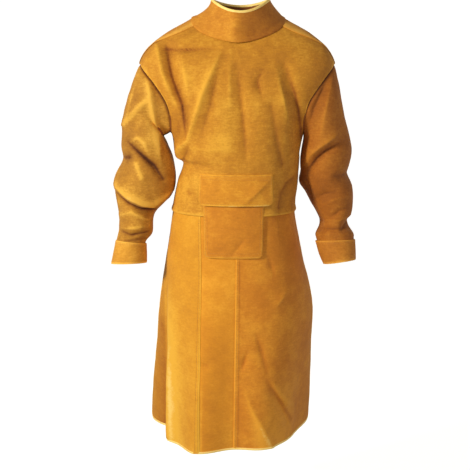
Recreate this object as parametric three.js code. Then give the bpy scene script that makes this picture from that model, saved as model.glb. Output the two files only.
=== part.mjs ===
// Sleeved leather welding apron in the form it has when worn, in millimetres.
// +Z is up and the front faces -Y. Left and right are as seen from the front, so left is -X.
// The origin is the middle of the neck, level with the shoulders where they meet the collar.
import * as THREE from 'three';

// Leather, and the spaces that seams and layers keep
const LEATHER = 1.6;
const SEAM_GAP = 0.8;
const LAYER = LEATHER + 0.6;
const SKIRT_INSET = LEATHER + 1.8;
const BINDING = 1.2;
const BINDING_REACH = 5;
const BINDING_SLACK = 0.6;

// Heights of the seams and edges of the body
const NECK_FRONT = -49;
const NECK_SIDE = 14;
const NECK_BACK = 10;
const NECK_DIP = 0.3;
const SHOULDER_TIP = -104;
const ARMPIT = -280;
const BACK_HEM = -250;
const BODICE_HEM = -482;
const SKIRT_TOP = -472;
const BINDING_TOP = -487;
const HEM = -1101;

// Angles round the body in degrees, 0 at the centre front and 180 at the centre back
const ARMHOLE_BITE = 30;
const NECK_END = 52;
const BACK_EDGE = 168;
const SIDE_EDGE = 90;
const HEM_CORNER_START = 83;
const HEM_CORNER_RISE = 26;

// Level sections of the body: half widths to the left and right, and where the sides and front lie in Y
const BODY = [
  { z: 20, left: 106, right: 110, side: 22, front: 6, round: 2.1 },
  { z: 0, left: 141, right: 143, side: 17, front: -16, round: 2.2 },
  { z: -27, left: 189, right: 188, side: 12, front: -44, round: 2.2 },
  { z: -64, left: 233, right: 229, side: 8, front: -70, round: 2.2 },
  { z: -104, left: 252, right: 247, side: 5, front: -87, round: 2.3 },
  { z: -153, left: 236, right: 233, side: 4, front: -100, round: 2.3 },
  { z: -202, left: 207, right: 205, side: 4, front: -109, round: 2.3 },
  { z: -280, left: 172, right: 171, side: 8, front: -117, round: 2.3 },
  { z: -330, left: 164, right: 160, side: 12, front: -120, round: 2.3 },
  { z: -354, left: 141, right: 159, side: 14, front: -121, round: 2.3 },
  { z: -404, left: 158, right: 157, side: 18, front: -122, round: 2.3 },
  { z: -480, left: 174, right: 152, side: 25, front: -125, round: 2.3 },
  { z: -600, left: 194, right: 174, side: 40, front: -129, round: 2.3 },
  { z: -736, left: 217, right: 206, side: 62, front: -129, round: 2.2 },
  { z: -860, left: 231, right: 210, side: 92, front: -126, round: 2.2 },
  { z: -986, left: 246, right: 212, side: 122, front: -121, round: 2.2 },
  { z: -1101, left: 256, right: 211, side: 148, front: -115, round: 2.3 },
];

// Where the middle of the back lies in Y
const BACK = [
  { z: 20, y: 58 },
  { z: -27, y: 90 },
  { z: -104, y: 113 },
  { z: -202, y: 117 },
  { z: -280, y: 110 },
];

// Shoulder seam from the collar to the tip of the shoulder, just in front of the ridge
const SHOULDER_SEAM = [
  { at: 0, angle: 52, z: -0.7 },
  { at: 0.3, angle: 58, z: -20 },
  { at: 0.6, angle: 69, z: -38 },
  { at: 0.82, angle: 80, z: -60 },
  { at: 1, angle: 90, z: -104 },
];

// Folds of the body as seen from the front: a line, the height at each of its ends, and half width
const BODY_FOLDS = [
  { name: 'chest ridge', x0: -52, z0: -108, x1: -140, z1: -318, high0: 9, high1: 9, width: 17 },
  { name: 'chest valley', x0: -34, z0: -120, x1: -118, z1: -316, high0: -6, high1: -6, width: 15 },
  { name: 'left armhole valley', x0: -172, z0: -66, x1: -146, z1: -288, high0: -11, high1: -11, width: 13 },
  { name: 'left armhole ridge', x0: -186, z0: -52, x1: -196, z1: -130, high0: 6, high1: 6, width: 14 },
  { name: 'collar bone crease', x0: -178, z0: -66, x1: -58, z1: -66, high0: -4, high1: -4, width: 9 },
  { name: 'centre valley', x0: -8, z0: -128, x1: 12, z1: -305, high0: -5, high1: -5, width: 26 },
  { name: 'right armhole valley', x0: 116, z0: -112, x1: 146, z1: -268, high0: -10, high1: -10, width: 15 },
  { name: 'right chest crease', x0: 82, z0: -205, x1: 112, z1: -355, high0: -5, high1: -5, width: 15 },
  { name: 'right waist hollow', x0: 132, z0: -392, x1: 100, z1: -470, high0: -8, high1: -8, width: 17 },
  { name: 'left knee', x0: -108, z0: -640, x1: -120, z1: -1101, high0: 0, high1: 46, width: 54 },
  { name: 'right knee', x0: 66, z0: -740, x1: 54, z1: -1101, high0: 0, high1: 16, width: 40 },
  { name: 'right hem fold', x0: 34, z0: -925, x1: 96, z1: -1075, high0: 4, high1: 6, width: 14 },
  { name: 'right corner fold', x0: 108, z0: -930, x1: 148, z1: -1040, high0: -6, high1: -7, width: 14 },
];

// The sides of the skirt turn in before its free edges: middle and half width in degrees, depth at the hem
const SIDE_TUCKS = [
  { name: 'left', angle: -68, width: 17, depth: 40 },
  { name: 'right', angle: 62, width: 22, depth: 24 },
];
const SIDE_TUCK_TOP = -600;

// Folds fade out where the wall turns away from the front, as shares of facing it squarely
const BODY_FADE = { none: 0.05, full: 0.45 };
const SLEEVE_FADE = { none: -0.35, full: 0.35, top: 0.85 };

// Sleeves from the shoulder down: outer and inner outline seen from the front, middle and half depth in Y
const SLEEVE_ROWS = {
  left: [
    { outX: -268, outZ: -139, inX: -205, inZ: -283, y: 8, deep: 66 },
    { outX: -284, outZ: -190, inX: -195, inZ: -310, y: 12, deep: 72 },
    { outX: -298, outZ: -247, inX: -182, inZ: -342, y: 15, deep: 75 },
    { outX: -307, outZ: -308, inX: -167, inZ: -388, y: 18, deep: 75 },
    { outX: -306, outZ: -352, inX: -166, inZ: -420, y: 18, deep: 74 },
    { outX: -322, outZ: -392, inX: -178, inZ: -447, y: 14, deep: 72 },
    { outX: -325, outZ: -425, inX: -199, inZ: -471, y: 8, deep: 67 },
    { outX: -319, outZ: -461, inX: -219, inZ: -491, y: 0, deep: 57 },
    { outX: -312, outZ: -497, inX: -225, inZ: -510, y: -8, deep: 51 },
    { outX: -313, outZ: -530, inX: -225, inZ: -540, y: -16, deep: 48 },
    { outX: -318, outZ: -554, inX: -242, inZ: -563, y: -23, deep: 45 },
    { outX: -320, outZ: -564, inX: -242, inZ: -573, y: -26, deep: 45 },
  ],
  right: [
    { outX: 261, outZ: -157, inX: 180, inZ: -306, y: 8, deep: 68 },
    { outX: 273, outZ: -226, inX: 170, inZ: -341, y: 12, deep: 73 },
    { outX: 290, outZ: -281, inX: 166, inZ: -375, y: 15, deep: 75 },
    { outX: 298, outZ: -326, inX: 166, inZ: -408, y: 18, deep: 75 },
    { outX: 290, outZ: -384, inX: 177, inZ: -437, y: 17, deep: 71 },
    { outX: 301, outZ: -421, inX: 190, inZ: -461, y: 13, deep: 67 },
    { outX: 301, outZ: -474, inX: 206, inZ: -487, y: 4, deep: 58 },
    { outX: 291, outZ: -511, inX: 214, inZ: -515, y: -4, deep: 50 },
    { outX: 305, outZ: -544, inX: 203, inZ: -543, y: -14, deep: 49 },
    { outX: 305, outZ: -552, inX: 206, inZ: -555, y: -17, deep: 45 },
    { outX: 305, outZ: -562, inX: 209, inZ: -566, y: -20, deep: 45 },
  ],
};

// Cuffs: the same outline at the seam and at the wrist edge
const CUFF_ROWS = {
  left: [
    { outX: -319, outZ: -558, inX: -242, inZ: -567, y: -24, deep: 45 },
    { outX: -325, outZ: -590, inX: -241, inZ: -593, y: -31, deep: 46 },
    { outX: -331, outZ: -619, inX: -241, inZ: -616, y: -38, deep: 46 },
  ],
  right: [
    { outX: 306, outZ: -557, inX: 205, inZ: -560, y: -18, deep: 46 },
    { outX: 307, outZ: -584, inX: 214, inZ: -592, y: -27, deep: 46 },
    { outX: 307, outZ: -608, inX: 226, inZ: -620, y: -34, deep: 45 },
  ],
};

// Folds of the sleeves as seen from the front
const SLEEVE_FOLDS = {
  left: [
    { name: 'cap ridge', x0: -236, z0: -135, x1: -194, z1: -330, high0: 6, high1: 6, width: 14 },
    { name: 'upper arm ridge', x0: -226, z0: -200, x1: -286, z1: -262, high0: 5, high1: 5, width: 13 },
    { name: 'elbow valley', x0: -276, z0: -316, x1: -196, z1: -400, high0: -11, high1: -11, width: 13 },
    { name: 'elbow dent', x0: -306, z0: -346, x1: -280, z1: -340, high0: -7, high1: -7, width: 15 },
    { name: 'elbow roll', x0: -292, z0: -434, x1: -212, z1: -462, high0: 8, high1: 8, width: 16 },
    { name: 'forearm crease', x0: -318, z0: -470, x1: -210, z1: -488, high0: -9, high1: -9, width: 11 },
    { name: 'wrist crease', x0: -276, z0: -548, x1: -226, z1: -538, high0: -5, high1: -5, width: 10 },
  ],
  right: [
    { name: 'cap ridge', x0: 232, z0: -150, x1: 210, z1: -290, high0: 5, high1: 5, width: 15 },
    { name: 'elbow ridge', x0: 272, z0: -298, x1: 216, z1: -330, high0: 5, high1: 5, width: 11 },
    { name: 'elbow valley', x0: 262, z0: -310, x1: 178, z1: -378, high0: -11, high1: -11, width: 12 },
    { name: 'outer notch', x0: 300, z0: -386, x1: 262, z1: -392, high0: -6, high1: -6, width: 12 },
    { name: 'forearm roll', x0: 296, z0: -468, x1: 222, z1: -478, high0: 6, high1: 6, width: 16 },
    { name: 'wrist pinch', x0: 306, z0: -520, x1: 214, z1: -528, high0: -8, high1: -8, width: 11 },
  ],
};

// Open underarm: how far the sleeve's lower edge stands off from the side of the body
const UNDERARM_START = 0.84;
const UNDERARM_OUT = { left: 33, right: 14 };
const UNDERARM_DROP = 8;
const SLEEVE_START = 2;

// Stand collar: the ring of its top edge, and how its wall leans in from the neck seam
const COLLAR_TOP = { x: 6, y: 3, wide: 75, deep: 67, front: 27, side: 61, back: 47 };
const COLLAR_LEAN = { left: 2.2, right: 1.35 };
const COLLAR_END = 177;

// X of the skirt seams at the waist and at the hem
const LEFT_SEAM = { top: -97, bottom: -88 };
const CENTRE_SEAM = { top: -4, bottom: -13 };

// Patch pocket and its flap, seen from the front
const POCKET = { left: -96, right: 65, narrow: 4, top: -445, bottom: -588, round: 12, bulge: 2 };
const FLAP = { left: -97, right: 86, narrow: 1, top: -376, bottom: -455, round: 10, bulge: 3 };

// Strap round the back at chest height, from inside one side edge to the other
const STRAP_MIDDLE = -312;
const STRAP_WIDTH = 36;
const STRAP_INSET = 8.5;
const STRAP_ANGLES = [72, 81, 91];
const STRAP_BACK = [
  { left: 148, right: 154, y: 29 },
  { left: 147, right: 150, y: 56 },
  { left: 132, right: 132, y: 96 },
  { left: 80, right: 78, y: 122 },
];
const STRAP_MIDDLE_BACK = 128;

// Tab that closes the collar at the back: half angle and heights as shares of the collar's height
const TAB = { angle: 28, low: 0.2, high: 0.8 };

// How finely each piece is divided
const BODICE_SEAM_COLUMNS = 7;
const BODICE_NECK_COLUMNS = 12;
const BODICE_EDGE_ROWS = 8;
const SKIRT_ROWS = 14;
const SLEEVE_SIDES = 2 * BODICE_EDGE_ROWS;
const SLEEVE_STEPS_PER_ROW = 2;
const COLLAR_SIDES = 30;

const { lerp, clamp, smoothstep, degToRad } = THREE.MathUtils;

// Smooth curve through the rows of a table, returned as a row
function rowAt(rows, key, at) {
  let i = 0;
  const rising = rows[rows.length - 1][key] > rows[0][key];
  while (i < rows.length - 2 && (rising ? at > rows[i + 1][key] : at < rows[i + 1][key])) i += 1;
  const here = rows[i];
  const next = rows[i + 1];
  const before = rows[Math.max(i - 1, 0)];
  const after = rows[Math.min(i + 2, rows.length - 1)];
  const span = next[key] - here[key];
  const t = clamp((at - here[key]) / span, 0, 1);
  const row = {};
  for (const column of Object.keys(here)) {
    const slope0 = ((next[column] - before[column]) / (next[key] - before[key])) * span;
    const slope1 = ((after[column] - here[column]) / (after[key] - here[key])) * span;
    row[column] =
      (2 * t ** 3 - 3 * t ** 2 + 1) * here[column] +
      (t ** 3 - 2 * t ** 2 + t) * slope0 +
      (3 * t ** 2 - 2 * t ** 3) * next[column] +
      (t ** 3 - t ** 2) * slope1;
  }
  return row;
}

// Height of the folds at a point seen from the front
function foldHeight(folds, x, z) {
  let height = 0;
  for (const fold of folds) {
    const dx = fold.x1 - fold.x0;
    const dz = fold.z1 - fold.z0;
    const length = Math.hypot(dx, dz);
    const along = ((x - fold.x0) * dx + (z - fold.z0) * dz) / length;
    const across = ((x - fold.x0) * dz - (z - fold.z0) * dx) / length;
    const past = along - clamp(along, 0, length);
    const high = lerp(fold.high0, fold.high1, clamp(along / length, 0, 1));
    height += high * Math.exp(-(across ** 2 + past ** 2) / fold.width ** 2);
  }
  return height;
}

// Smooth body ring before folds: the front half is a U, the back half closes it
function bodyRing(angle, z) {
  const row = rowAt(BODY, 'z', z);
  const turn = degToRad(angle);
  const share = Math.sin(turn);
  const bow = Math.max(1 - Math.abs(share) ** row.round, 0) ** (1 / row.round);
  const middle = Math.cos(turn) >= 0 ? row.front : rowAt(BACK, 'z', z).y;
  const x = share * (share < 0 ? row.left : row.right);
  return new THREE.Vector3(x, row.side + (middle - row.side) * bow, z);
}

// Point on the folded body surface, moved out along its normal
function bodyPoint(angle, z, out = 0) {
  const point = bodyRing(angle, z);
  const across = bodyRing(angle + 1, z).sub(bodyRing(angle - 1, z));
  const up = bodyRing(angle, Math.min(z + 2, 20)).sub(bodyRing(angle, z - 2));
  const normal = across.cross(up).normalize();
  const facing = smoothstep(Math.cos(degToRad(angle)), BODY_FADE.none, BODY_FADE.full);
  let height = out + foldHeight(BODY_FOLDS, point.x, z) * facing;
  for (const tuck of SIDE_TUCKS) {
    const share = Math.exp(-(((angle - tuck.angle) / tuck.width) ** 2));
    height -= tuck.depth * share * smoothstep(-z, -SIDE_TUCK_TOP, -HEM);
  }
  return point.addScaledVector(normal, height);
}

// The angle at which the body has a given X at a height
function angleOfX(x, z) {
  const row = rowAt(BODY, 'z', z);
  return THREE.MathUtils.radToDeg(Math.asin(clamp(x / (x < 0 ? row.left : row.right), -1, 1)));
}

// Height of the neck seam at an angle round the neck
function neckHeight(angle) {
  const share = Math.abs(Math.sin(degToRad(angle)));
  if (Math.cos(degToRad(angle)) < 0) return lerp(NECK_BACK, NECK_SIDE, share);
  const rise = ((1 + NECK_DIP) * share ** 2) / (share + NECK_DIP);
  return lerp(NECK_FRONT, NECK_SIDE, rise);
}

// Armhole seam from the tip of the shoulder (0) to the armpit (1), on the front or the back
function armhole(t, isBack) {
  const fall = (1 - Math.cos(Math.PI * clamp(t, 0, 1))) / 2;
  const bite = ARMHOLE_BITE * Math.sqrt(Math.sin(Math.PI * fall));
  return { angle: SIDE_EDGE + (isBack ? bite : -bite), z: lerp(SHOULDER_TIP, ARMPIT, fall) };
}

// Patch of body coordinates between four edges, each a function of 0 to 1
function patch(bottom, top, left, right, columns, rows) {
  const corner = (a, b, t, column) => lerp(a[column], b[column], t);
  const grid = [];
  for (let i = 0; i <= rows; i += 1) {
    const v = i / rows;
    const line = [];
    for (let j = 0; j <= columns; j += 1) {
      const u = j / columns;
      const place = {};
      for (const column of ['angle', 'z']) {
        const ruled = corner(bottom(u), top(u), v, column) + corner(left(v), right(v), u, column);
        const low = corner(bottom(0), bottom(1), u, column);
        const high = corner(top(0), top(1), u, column);
        place[column] = ruled - lerp(low, high, v);
      }
      line.push(place);
    }
    grid.push(line);
  }
  return grid;
}

// Normals of a grid of points whose columns run left to right and rows run up, seen from outside
function gridNormals(grid, closed) {
  const last = grid[0].length - 1;
  return grid.map((line, i) =>
    line.map((point, j) => {
      const before = closed ? line[(j + last) % (last + 1)] : line[Math.max(j - 1, 0)];
      const after = closed ? line[(j + 1) % (last + 1)] : line[Math.min(j + 1, last)];
      const across = after.clone().sub(before);
      const above = grid[Math.min(i + 1, grid.length - 1)][j];
      const below = grid[Math.max(i - 1, 0)][j];
      return across.cross(above.clone().sub(below)).normalize();
    }),
  );
}

// Closed solid from indexed points
function solid(points, triangles) {
  const geometry = new THREE.BufferGeometry();
  geometry.setFromPoints(points);
  geometry.setIndex(triangles);
  geometry.computeVertexNormals();
  return geometry;
}

// The same grid moved out along its normals
function moved(grid, closed, out) {
  const normals = gridNormals(grid, closed);
  return grid.map((line, i) => line.map((point, j) => point.clone().addScaledVector(normals[i][j], out)));
}

// Leather wall between a grid of points on its outer face and a like grid on its inner face
function leatherWall(face, back, closed = false) {
  const rows = face.length;
  const columns = face[0].length;
  const points = [...face.flat(), ...back.flat()];
  const outer = (i, j) => i * columns + (j % columns);
  const inner = (i, j) => rows * columns + outer(i, j);
  const triangles = [];
  const quad = (a, b, c, d) => triangles.push(a, b, c, a, c, d);
  const cells = closed ? columns : columns - 1;
  for (let j = 0; j < cells; j += 1) {
    for (let i = 0; i < rows - 1; i += 1) {
      quad(outer(i, j), outer(i, j + 1), outer(i + 1, j + 1), outer(i + 1, j));
      quad(inner(i, j), inner(i + 1, j), inner(i + 1, j + 1), inner(i, j + 1));
    }
    quad(inner(0, j), inner(0, j + 1), outer(0, j + 1), outer(0, j));
    quad(outer(rows - 1, j), outer(rows - 1, j + 1), inner(rows - 1, j + 1), inner(rows - 1, j));
  }
  if (!closed) {
    for (let i = 0; i < rows - 1; i += 1) {
      const end = columns - 1;
      quad(outer(i, 0), outer(i + 1, 0), inner(i + 1, 0), inner(i, 0));
      quad(inner(i, end), inner(i + 1, end), outer(i + 1, end), outer(i, end));
    }
  }
  return solid(points, triangles);
}

// Binding strip folded over an edge, given points along the edge and the ways out of its face.
// The material lies to the side of the walk along the edge that the cross product gives.
function bindingStrip(edge, normals) {
  const face = LEATHER / 2 + BINDING_SLACK;
  const shell = face + BINDING;
  const lip = -BINDING_SLACK;
  const profile = [
    [lip - BINDING, -shell], [lip - BINDING, shell], [BINDING_REACH, shell], [BINDING_REACH, face],
    [lip, face], [lip, -face], [BINDING_REACH, -face], [BINDING_REACH, -shell],
  ];
  const sides = profile.length;
  const points = [];
  edge.forEach((point, i) => {
    const along = edge[Math.min(i + 1, edge.length - 1)].clone().sub(edge[Math.max(i - 1, 0)]);
    const inwards = along.cross(normals[i]).normalize();
    for (const [reach, out] of profile) {
      points.push(point.clone().addScaledVector(inwards, reach).addScaledVector(normals[i], out));
    }
  });
  const triangles = [];
  for (let i = 0; i < edge.length - 1; i += 1) {
    for (let k = 0; k < sides; k += 1) {
      const a = i * sides + k;
      const b = i * sides + ((k + 1) % sides);
      triangles.push(a, b, b + sides, a, b + sides, a + sides);
    }
  }
  const shape = profile.map(([u, v]) => new THREE.Vector2(u, v));
  const order = THREE.ShapeUtils.isClockWise(shape) ? [0, 2, 1] : [0, 1, 2];
  const end = (edge.length - 1) * sides;
  for (const cap of THREE.ShapeUtils.triangulateShape(shape, [])) {
    const [a, b, c] = order.map((k) => cap[k]);
    triangles.push(a, c, b, end + a, end + b, end + c);
  }
  return solid(points, triangles);
}

const apron = new THREE.Group();
const HIDE_COLOUR = 0xd9962d;
const SHADE_COLOUR = 0xb9781f;
const BINDING_COLOUR = 0xf4d774;

// Each piece has its own material
function addPiece(name, geometry, colour) {
  const material = new THREE.MeshStandardMaterial({ color: colour, roughness: 0.9, metalness: 0 });
  const mesh = new THREE.Mesh(geometry, material);
  mesh.name = name;
  apron.add(mesh);
}

const onBody = (grid, out) => grid.map((line) => line.map((place) => bodyPoint(place.angle, place.z, out)));
const bodyWall = (grid, out = 0) => leatherWall(onBody(grid, out), onBody(grid, out - LEATHER));
const looseWall = (grid, closed, out = 0) =>
  leatherWall(moved(grid, closed, out), moved(grid, closed, out - LEATHER), closed);
const mirrored = (place, sign) => ({ angle: sign * place.angle, z: place.z });

// Chest panel: waist seam below, side edges and armholes at the sides, shoulder and neck seams above
const bodiceColumns = 2 * BODICE_SEAM_COLUMNS + BODICE_NECK_COLUMNS;
const seamShare = BODICE_SEAM_COLUMNS / bodiceColumns;
const shoulderSeam = (t) => rowAt(SHOULDER_SEAM, 'at', t);
function bodiceTop(u) {
  if (u < seamShare) return mirrored(shoulderSeam(1 - u / seamShare), -1);
  if (u > 1 - seamShare) return shoulderSeam(1 - (1 - u) / seamShare);
  const angle = lerp(-NECK_END, NECK_END, (u - seamShare) / (1 - 2 * seamShare));
  return { angle, z: neckHeight(angle) };
}
function bodiceSide(v) {
  if (v < 0.5) return { angle: SIDE_EDGE, z: lerp(BODICE_HEM, ARMPIT, v * 2) };
  return armhole(2 - v * 2, false);
}
const bodiceGrid = patch(
  (u) => ({ angle: lerp(-SIDE_EDGE, SIDE_EDGE, u), z: BODICE_HEM }),
  bodiceTop,
  (v) => mirrored(bodiceSide(v), -1),
  bodiceSide,
  bodiceColumns,
  2 * BODICE_EDGE_ROWS,
);
addPiece('bodice_front', bodyWall(bodiceGrid), HIDE_COLOUR);

// Shoulder-blade panels: they come over the shoulder to its seam and leave the middle of the back open
const BACK_CORNER = 0.7;
const BACK_ROWS = 10;
const SEAM_ALLOWANCE = 0.7;
function backInner(v) {
  if (v < BACK_CORNER) return { angle: BACK_EDGE, z: lerp(BACK_HEM, neckHeight(BACK_EDGE), v / BACK_CORNER) };
  const angle = lerp(BACK_EDGE, NECK_END, (v - BACK_CORNER) / (1 - BACK_CORNER));
  return { angle, z: neckHeight(angle) };
}
const backArmholeFall = (BACK_HEM - SHOULDER_TIP) / (ARMPIT - SHOULDER_TIP);
const backArmholeEnd = Math.acos(1 - 2 * backArmholeFall) / Math.PI;
const backOuter = (v) => armhole(backArmholeEnd * (1 - v), true);
for (const [side, sign] of [['left', -1], ['right', 1]]) {
  const hem = (u) => ({ angle: lerp(backOuter(0).angle, BACK_EDGE, u), z: BACK_HEM });
  const seam = (u) => shoulderSeam(1 - u);
  const grid = patch(hem, seam, backOuter, backInner, BODICE_SEAM_COLUMNS, BACK_ROWS);
  const shifted = ({ angle, z }) => ({ angle: sign * (angle + SEAM_ALLOWANCE), z });
  const faced = grid.map((line) => line.map(shifted));
  const ordered = sign > 0 ? faced : faced.map((line) => line.reverse());
  addPiece(`back_${side}`, bodyWall(ordered), SHADE_COLOUR);
}

// Sleeves: rings from the cuff seam up to the armhole
function sleeveRing(row, turn) {
  const minus = row.outX < 0 ? [row.outX, row.outZ] : [row.inX, row.inZ];
  const plus = row.outX < 0 ? [row.inX, row.inZ] : [row.outX, row.outZ];
  const reach = (1 - Math.cos(turn)) / 2;
  return new THREE.Vector3(
    lerp(minus[0], plus[0], reach),
    row.y - row.deep * Math.sin(turn),
    lerp(minus[1], plus[1], reach),
  );
}
function armholeRing(side, sign, turn) {
  const half = turn <= Math.PI ? turn / Math.PI : 2 - turn / Math.PI;
  const t = sign < 0 ? half : 1 - half;
  const place = mirrored(armhole(t, turn > Math.PI), sign);
  const open = smoothstep(t, UNDERARM_START, 1);
  const point = bodyPoint(place.angle, place.z);
  return point.add(new THREE.Vector3(sign * UNDERARM_OUT[side] * open, 0, -UNDERARM_DROP * open));
}
function sleeveGrid(rings, folds) {
  const grid = rings.map((ring) => ring.map((point) => point.clone()));
  const normals = gridNormals(grid, true);
  grid.forEach((ring, i) =>
    ring.forEach((point, j) => {
      const facing = smoothstep(-normals[i][j].y, SLEEVE_FADE.none, SLEEVE_FADE.full);
      const fade = 1 - smoothstep(i / (grid.length - 1), SLEEVE_FADE.top, 1);
      point.addScaledVector(normals[i][j], foldHeight(folds, point.x, point.z) * facing * fade);
    }),
  );
  return grid;
}
for (const [side, sign] of [['left', -1], ['right', 1]]) {
  const turns = Array.from({ length: SLEEVE_SIDES }, (_, k) => (k / SLEEVE_SIDES) * 2 * Math.PI);
  const columns = turns.map((turn) => {
    const rows = SLEEVE_ROWS[side].map((row) => sleeveRing(row, turn));
    const start = armholeRing(side, sign, turn);
    start.addScaledVector(rows[0].clone().sub(start).normalize(), SLEEVE_START);
    return new THREE.CatmullRomCurve3([start, ...rows].reverse());
  });
  const steps = SLEEVE_ROWS[side].length * SLEEVE_STEPS_PER_ROW;
  const rings = [];
  for (let i = 0; i <= steps; i += 1) rings.push(columns.map((curve) => curve.getPoint(i / steps)));
  addPiece(`sleeve_${side}`, looseWall(sleeveGrid(rings, SLEEVE_FOLDS[side]), true), HIDE_COLOUR);

  const bands = CUFF_ROWS[side].map((row) => turns.map((turn) => sleeveRing(row, turn))).reverse();
  addPiece(`cuff_${side}`, looseWall(bands, true, LAYER), HIDE_COLOUR);
}

// Skirt: three panels in one U, one layer inside the chest panel, with rounded bottom corners
function hemHeight(angle) {
  const corner = clamp((Math.abs(angle) - HEM_CORNER_START) / (SIDE_EDGE - HEM_CORNER_START), 0, 1);
  return HEM + HEM_CORNER_RISE * (1 - Math.sqrt(1 - corner ** 2));
}
function seamAngle(seam, v, shift) {
  const z = lerp(HEM, BINDING_TOP, v);
  return angleOfX(lerp(seam.bottom, seam.top, v) + shift, z);
}
const halfGap = SEAM_GAP / 2;
const panels = [
  { name: 'skirt_left', from: () => -SIDE_EDGE, to: (v) => seamAngle(LEFT_SEAM, v, -halfGap), columns: 12 },
  {
    name: 'skirt_centre',
    from: (v) => seamAngle(LEFT_SEAM, v, halfGap),
    to: (v) => seamAngle(CENTRE_SEAM, v, -halfGap),
    columns: 5,
  },
  { name: 'skirt_right', from: (v) => seamAngle(CENTRE_SEAM, v, halfGap), to: () => SIDE_EDGE, columns: 14 },
];
const skirtEdges = panels.map((panel) => {
  const grid = [];
  for (let i = 0; i <= SKIRT_ROWS + 1; i += 1) {
    const v = i / SKIRT_ROWS;
    const line = [];
    for (let j = 0; j <= panel.columns; j += 1) {
      const angle = lerp(panel.from(v), panel.to(v), j / panel.columns);
      line.push({ angle, z: i > SKIRT_ROWS ? SKIRT_TOP : lerp(hemHeight(angle), BINDING_TOP, v) });
    }
    grid.push(line);
  }
  addPiece(panel.name, bodyWall(grid, -SKIRT_INSET), HIDE_COLOUR);
  const middle = onBody(grid, -SKIRT_INSET - LEATHER / 2);
  const normals = gridNormals(middle, false);
  const stops = middle.map((line, i) => line.map((point, j) => ({ point, normal: normals[i][j] })));
  return stops.slice(0, SKIRT_ROWS + 1);
});

// Hem binding: down the right edge, along the hem and up the left edge
const [leftStops, centreStops, rightStops] = skirtEdges;
const edgeStops = [
  ...rightStops.map((line) => line[line.length - 1]).slice(1).reverse(),
  ...rightStops[0].slice(1).reverse(),
  ...centreStops[0].slice().reverse(),
  ...leftStops[0].slice(0, -1).reverse(),
  ...leftStops.map((line) => line[0]).slice(1),
];
const hemBinding = bindingStrip(edgeStops.map((stop) => stop.point), edgeStops.map((stop) => stop.normal));
addPiece('hem_binding', hemBinding, BINDING_COLOUR);

// Stand collar from the neck seam to its top edge
function collarPoint(angle, t) {
  const base = bodyPoint(angle, neckHeight(angle));
  const turn = degToRad(angle);
  const share = Math.abs(Math.sin(turn));
  const frontTop = lerp(COLLAR_TOP.front, COLLAR_TOP.side, share ** 2);
  const backTop = lerp(COLLAR_TOP.back, COLLAR_TOP.side, share);
  const top = new THREE.Vector3(
    COLLAR_TOP.x + COLLAR_TOP.wide * Math.sin(turn),
    COLLAR_TOP.y - COLLAR_TOP.deep * Math.cos(turn),
    Math.cos(turn) > 0 ? frontTop : backTop,
  );
  const lean = 1 - (1 - t) ** lerp(COLLAR_LEAN.left, COLLAR_LEAN.right, (1 + Math.sin(turn)) / 2);
  return new THREE.Vector3(lerp(base.x, top.x, lean), lerp(base.y, top.y, lean), lerp(base.z, top.z, t));
}
const COLLAR_GAP = 1.7;
const COLLAR_ROWS = 5;
function collarGrid(from, to, low, high, columns, rows) {
  const grid = [];
  for (let i = 0; i <= rows; i += 1) {
    const line = [];
    for (let j = 0; j <= columns; j += 1) {
      const angle = lerp(from, to, j / columns);
      line.push(collarPoint(angle, lerp(low(angle), high, i / rows)));
    }
    grid.push(line);
  }
  return grid;
}
const collarFoot = (angle) => COLLAR_GAP / (collarPoint(angle, 1).z - collarPoint(angle, 0).z);
const stand = collarGrid(-COLLAR_END, COLLAR_END, collarFoot, 1, COLLAR_SIDES, COLLAR_ROWS);
addPiece('collar', looseWall(stand, false), HIDE_COLOUR);

// Collar binding over the top edge
const rimNormals = gridNormals(stand, false)[COLLAR_ROWS];
const rim = stand[COLLAR_ROWS].map((point, j) => point.clone().addScaledVector(rimNormals[j], -LEATHER / 2));
addPiece('collar_binding', bindingStrip(rim, rimNormals), BINDING_COLOUR);

// Closing tab laid over the opening at the back of the collar
const tab = collarGrid(180 - TAB.angle, 180 + TAB.angle, () => TAB.low, TAB.high, 6, 3);
addPiece('neck_tab', looseWall(tab, false, LAYER), SHADE_COLOUR);

// Flat pieces laid on the front with rounded lower corners, where their rows crowd together
const CORNER_CROWDING = 1.7;
function patchPiece(shape, columns, rows, out) {
  const grid = [];
  for (let i = 0; i <= rows; i += 1) {
    const rise = (shape.top - shape.bottom) * (i / rows) ** CORNER_CROWDING;
    const corner = clamp(1 - rise / shape.round, 0, 1);
    const inset = shape.round * (1 - Math.sqrt(1 - corner ** 2)) + shape.narrow * (1 - i / rows);
    const line = [];
    for (let j = 0; j <= columns; j += 1) {
      const u = j / columns;
      const x = lerp(shape.left + inset, shape.right - inset, u);
      const swell = shape.bulge * Math.sin(Math.PI * u) * Math.sin((Math.PI * i) / rows);
      line.push(bodyPoint(angleOfX(x, shape.bottom + rise), shape.bottom + rise, out + swell));
    }
    grid.push(line);
  }
  return looseWall(grid, false);
}
addPiece('pocket', patchPiece(POCKET, 9, 8, LAYER), HIDE_COLOUR);
addPiece('pocket_flap', patchPiece(FLAP, 10, 6, 2 * LAYER + POCKET.bulge), HIDE_COLOUR);

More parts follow.
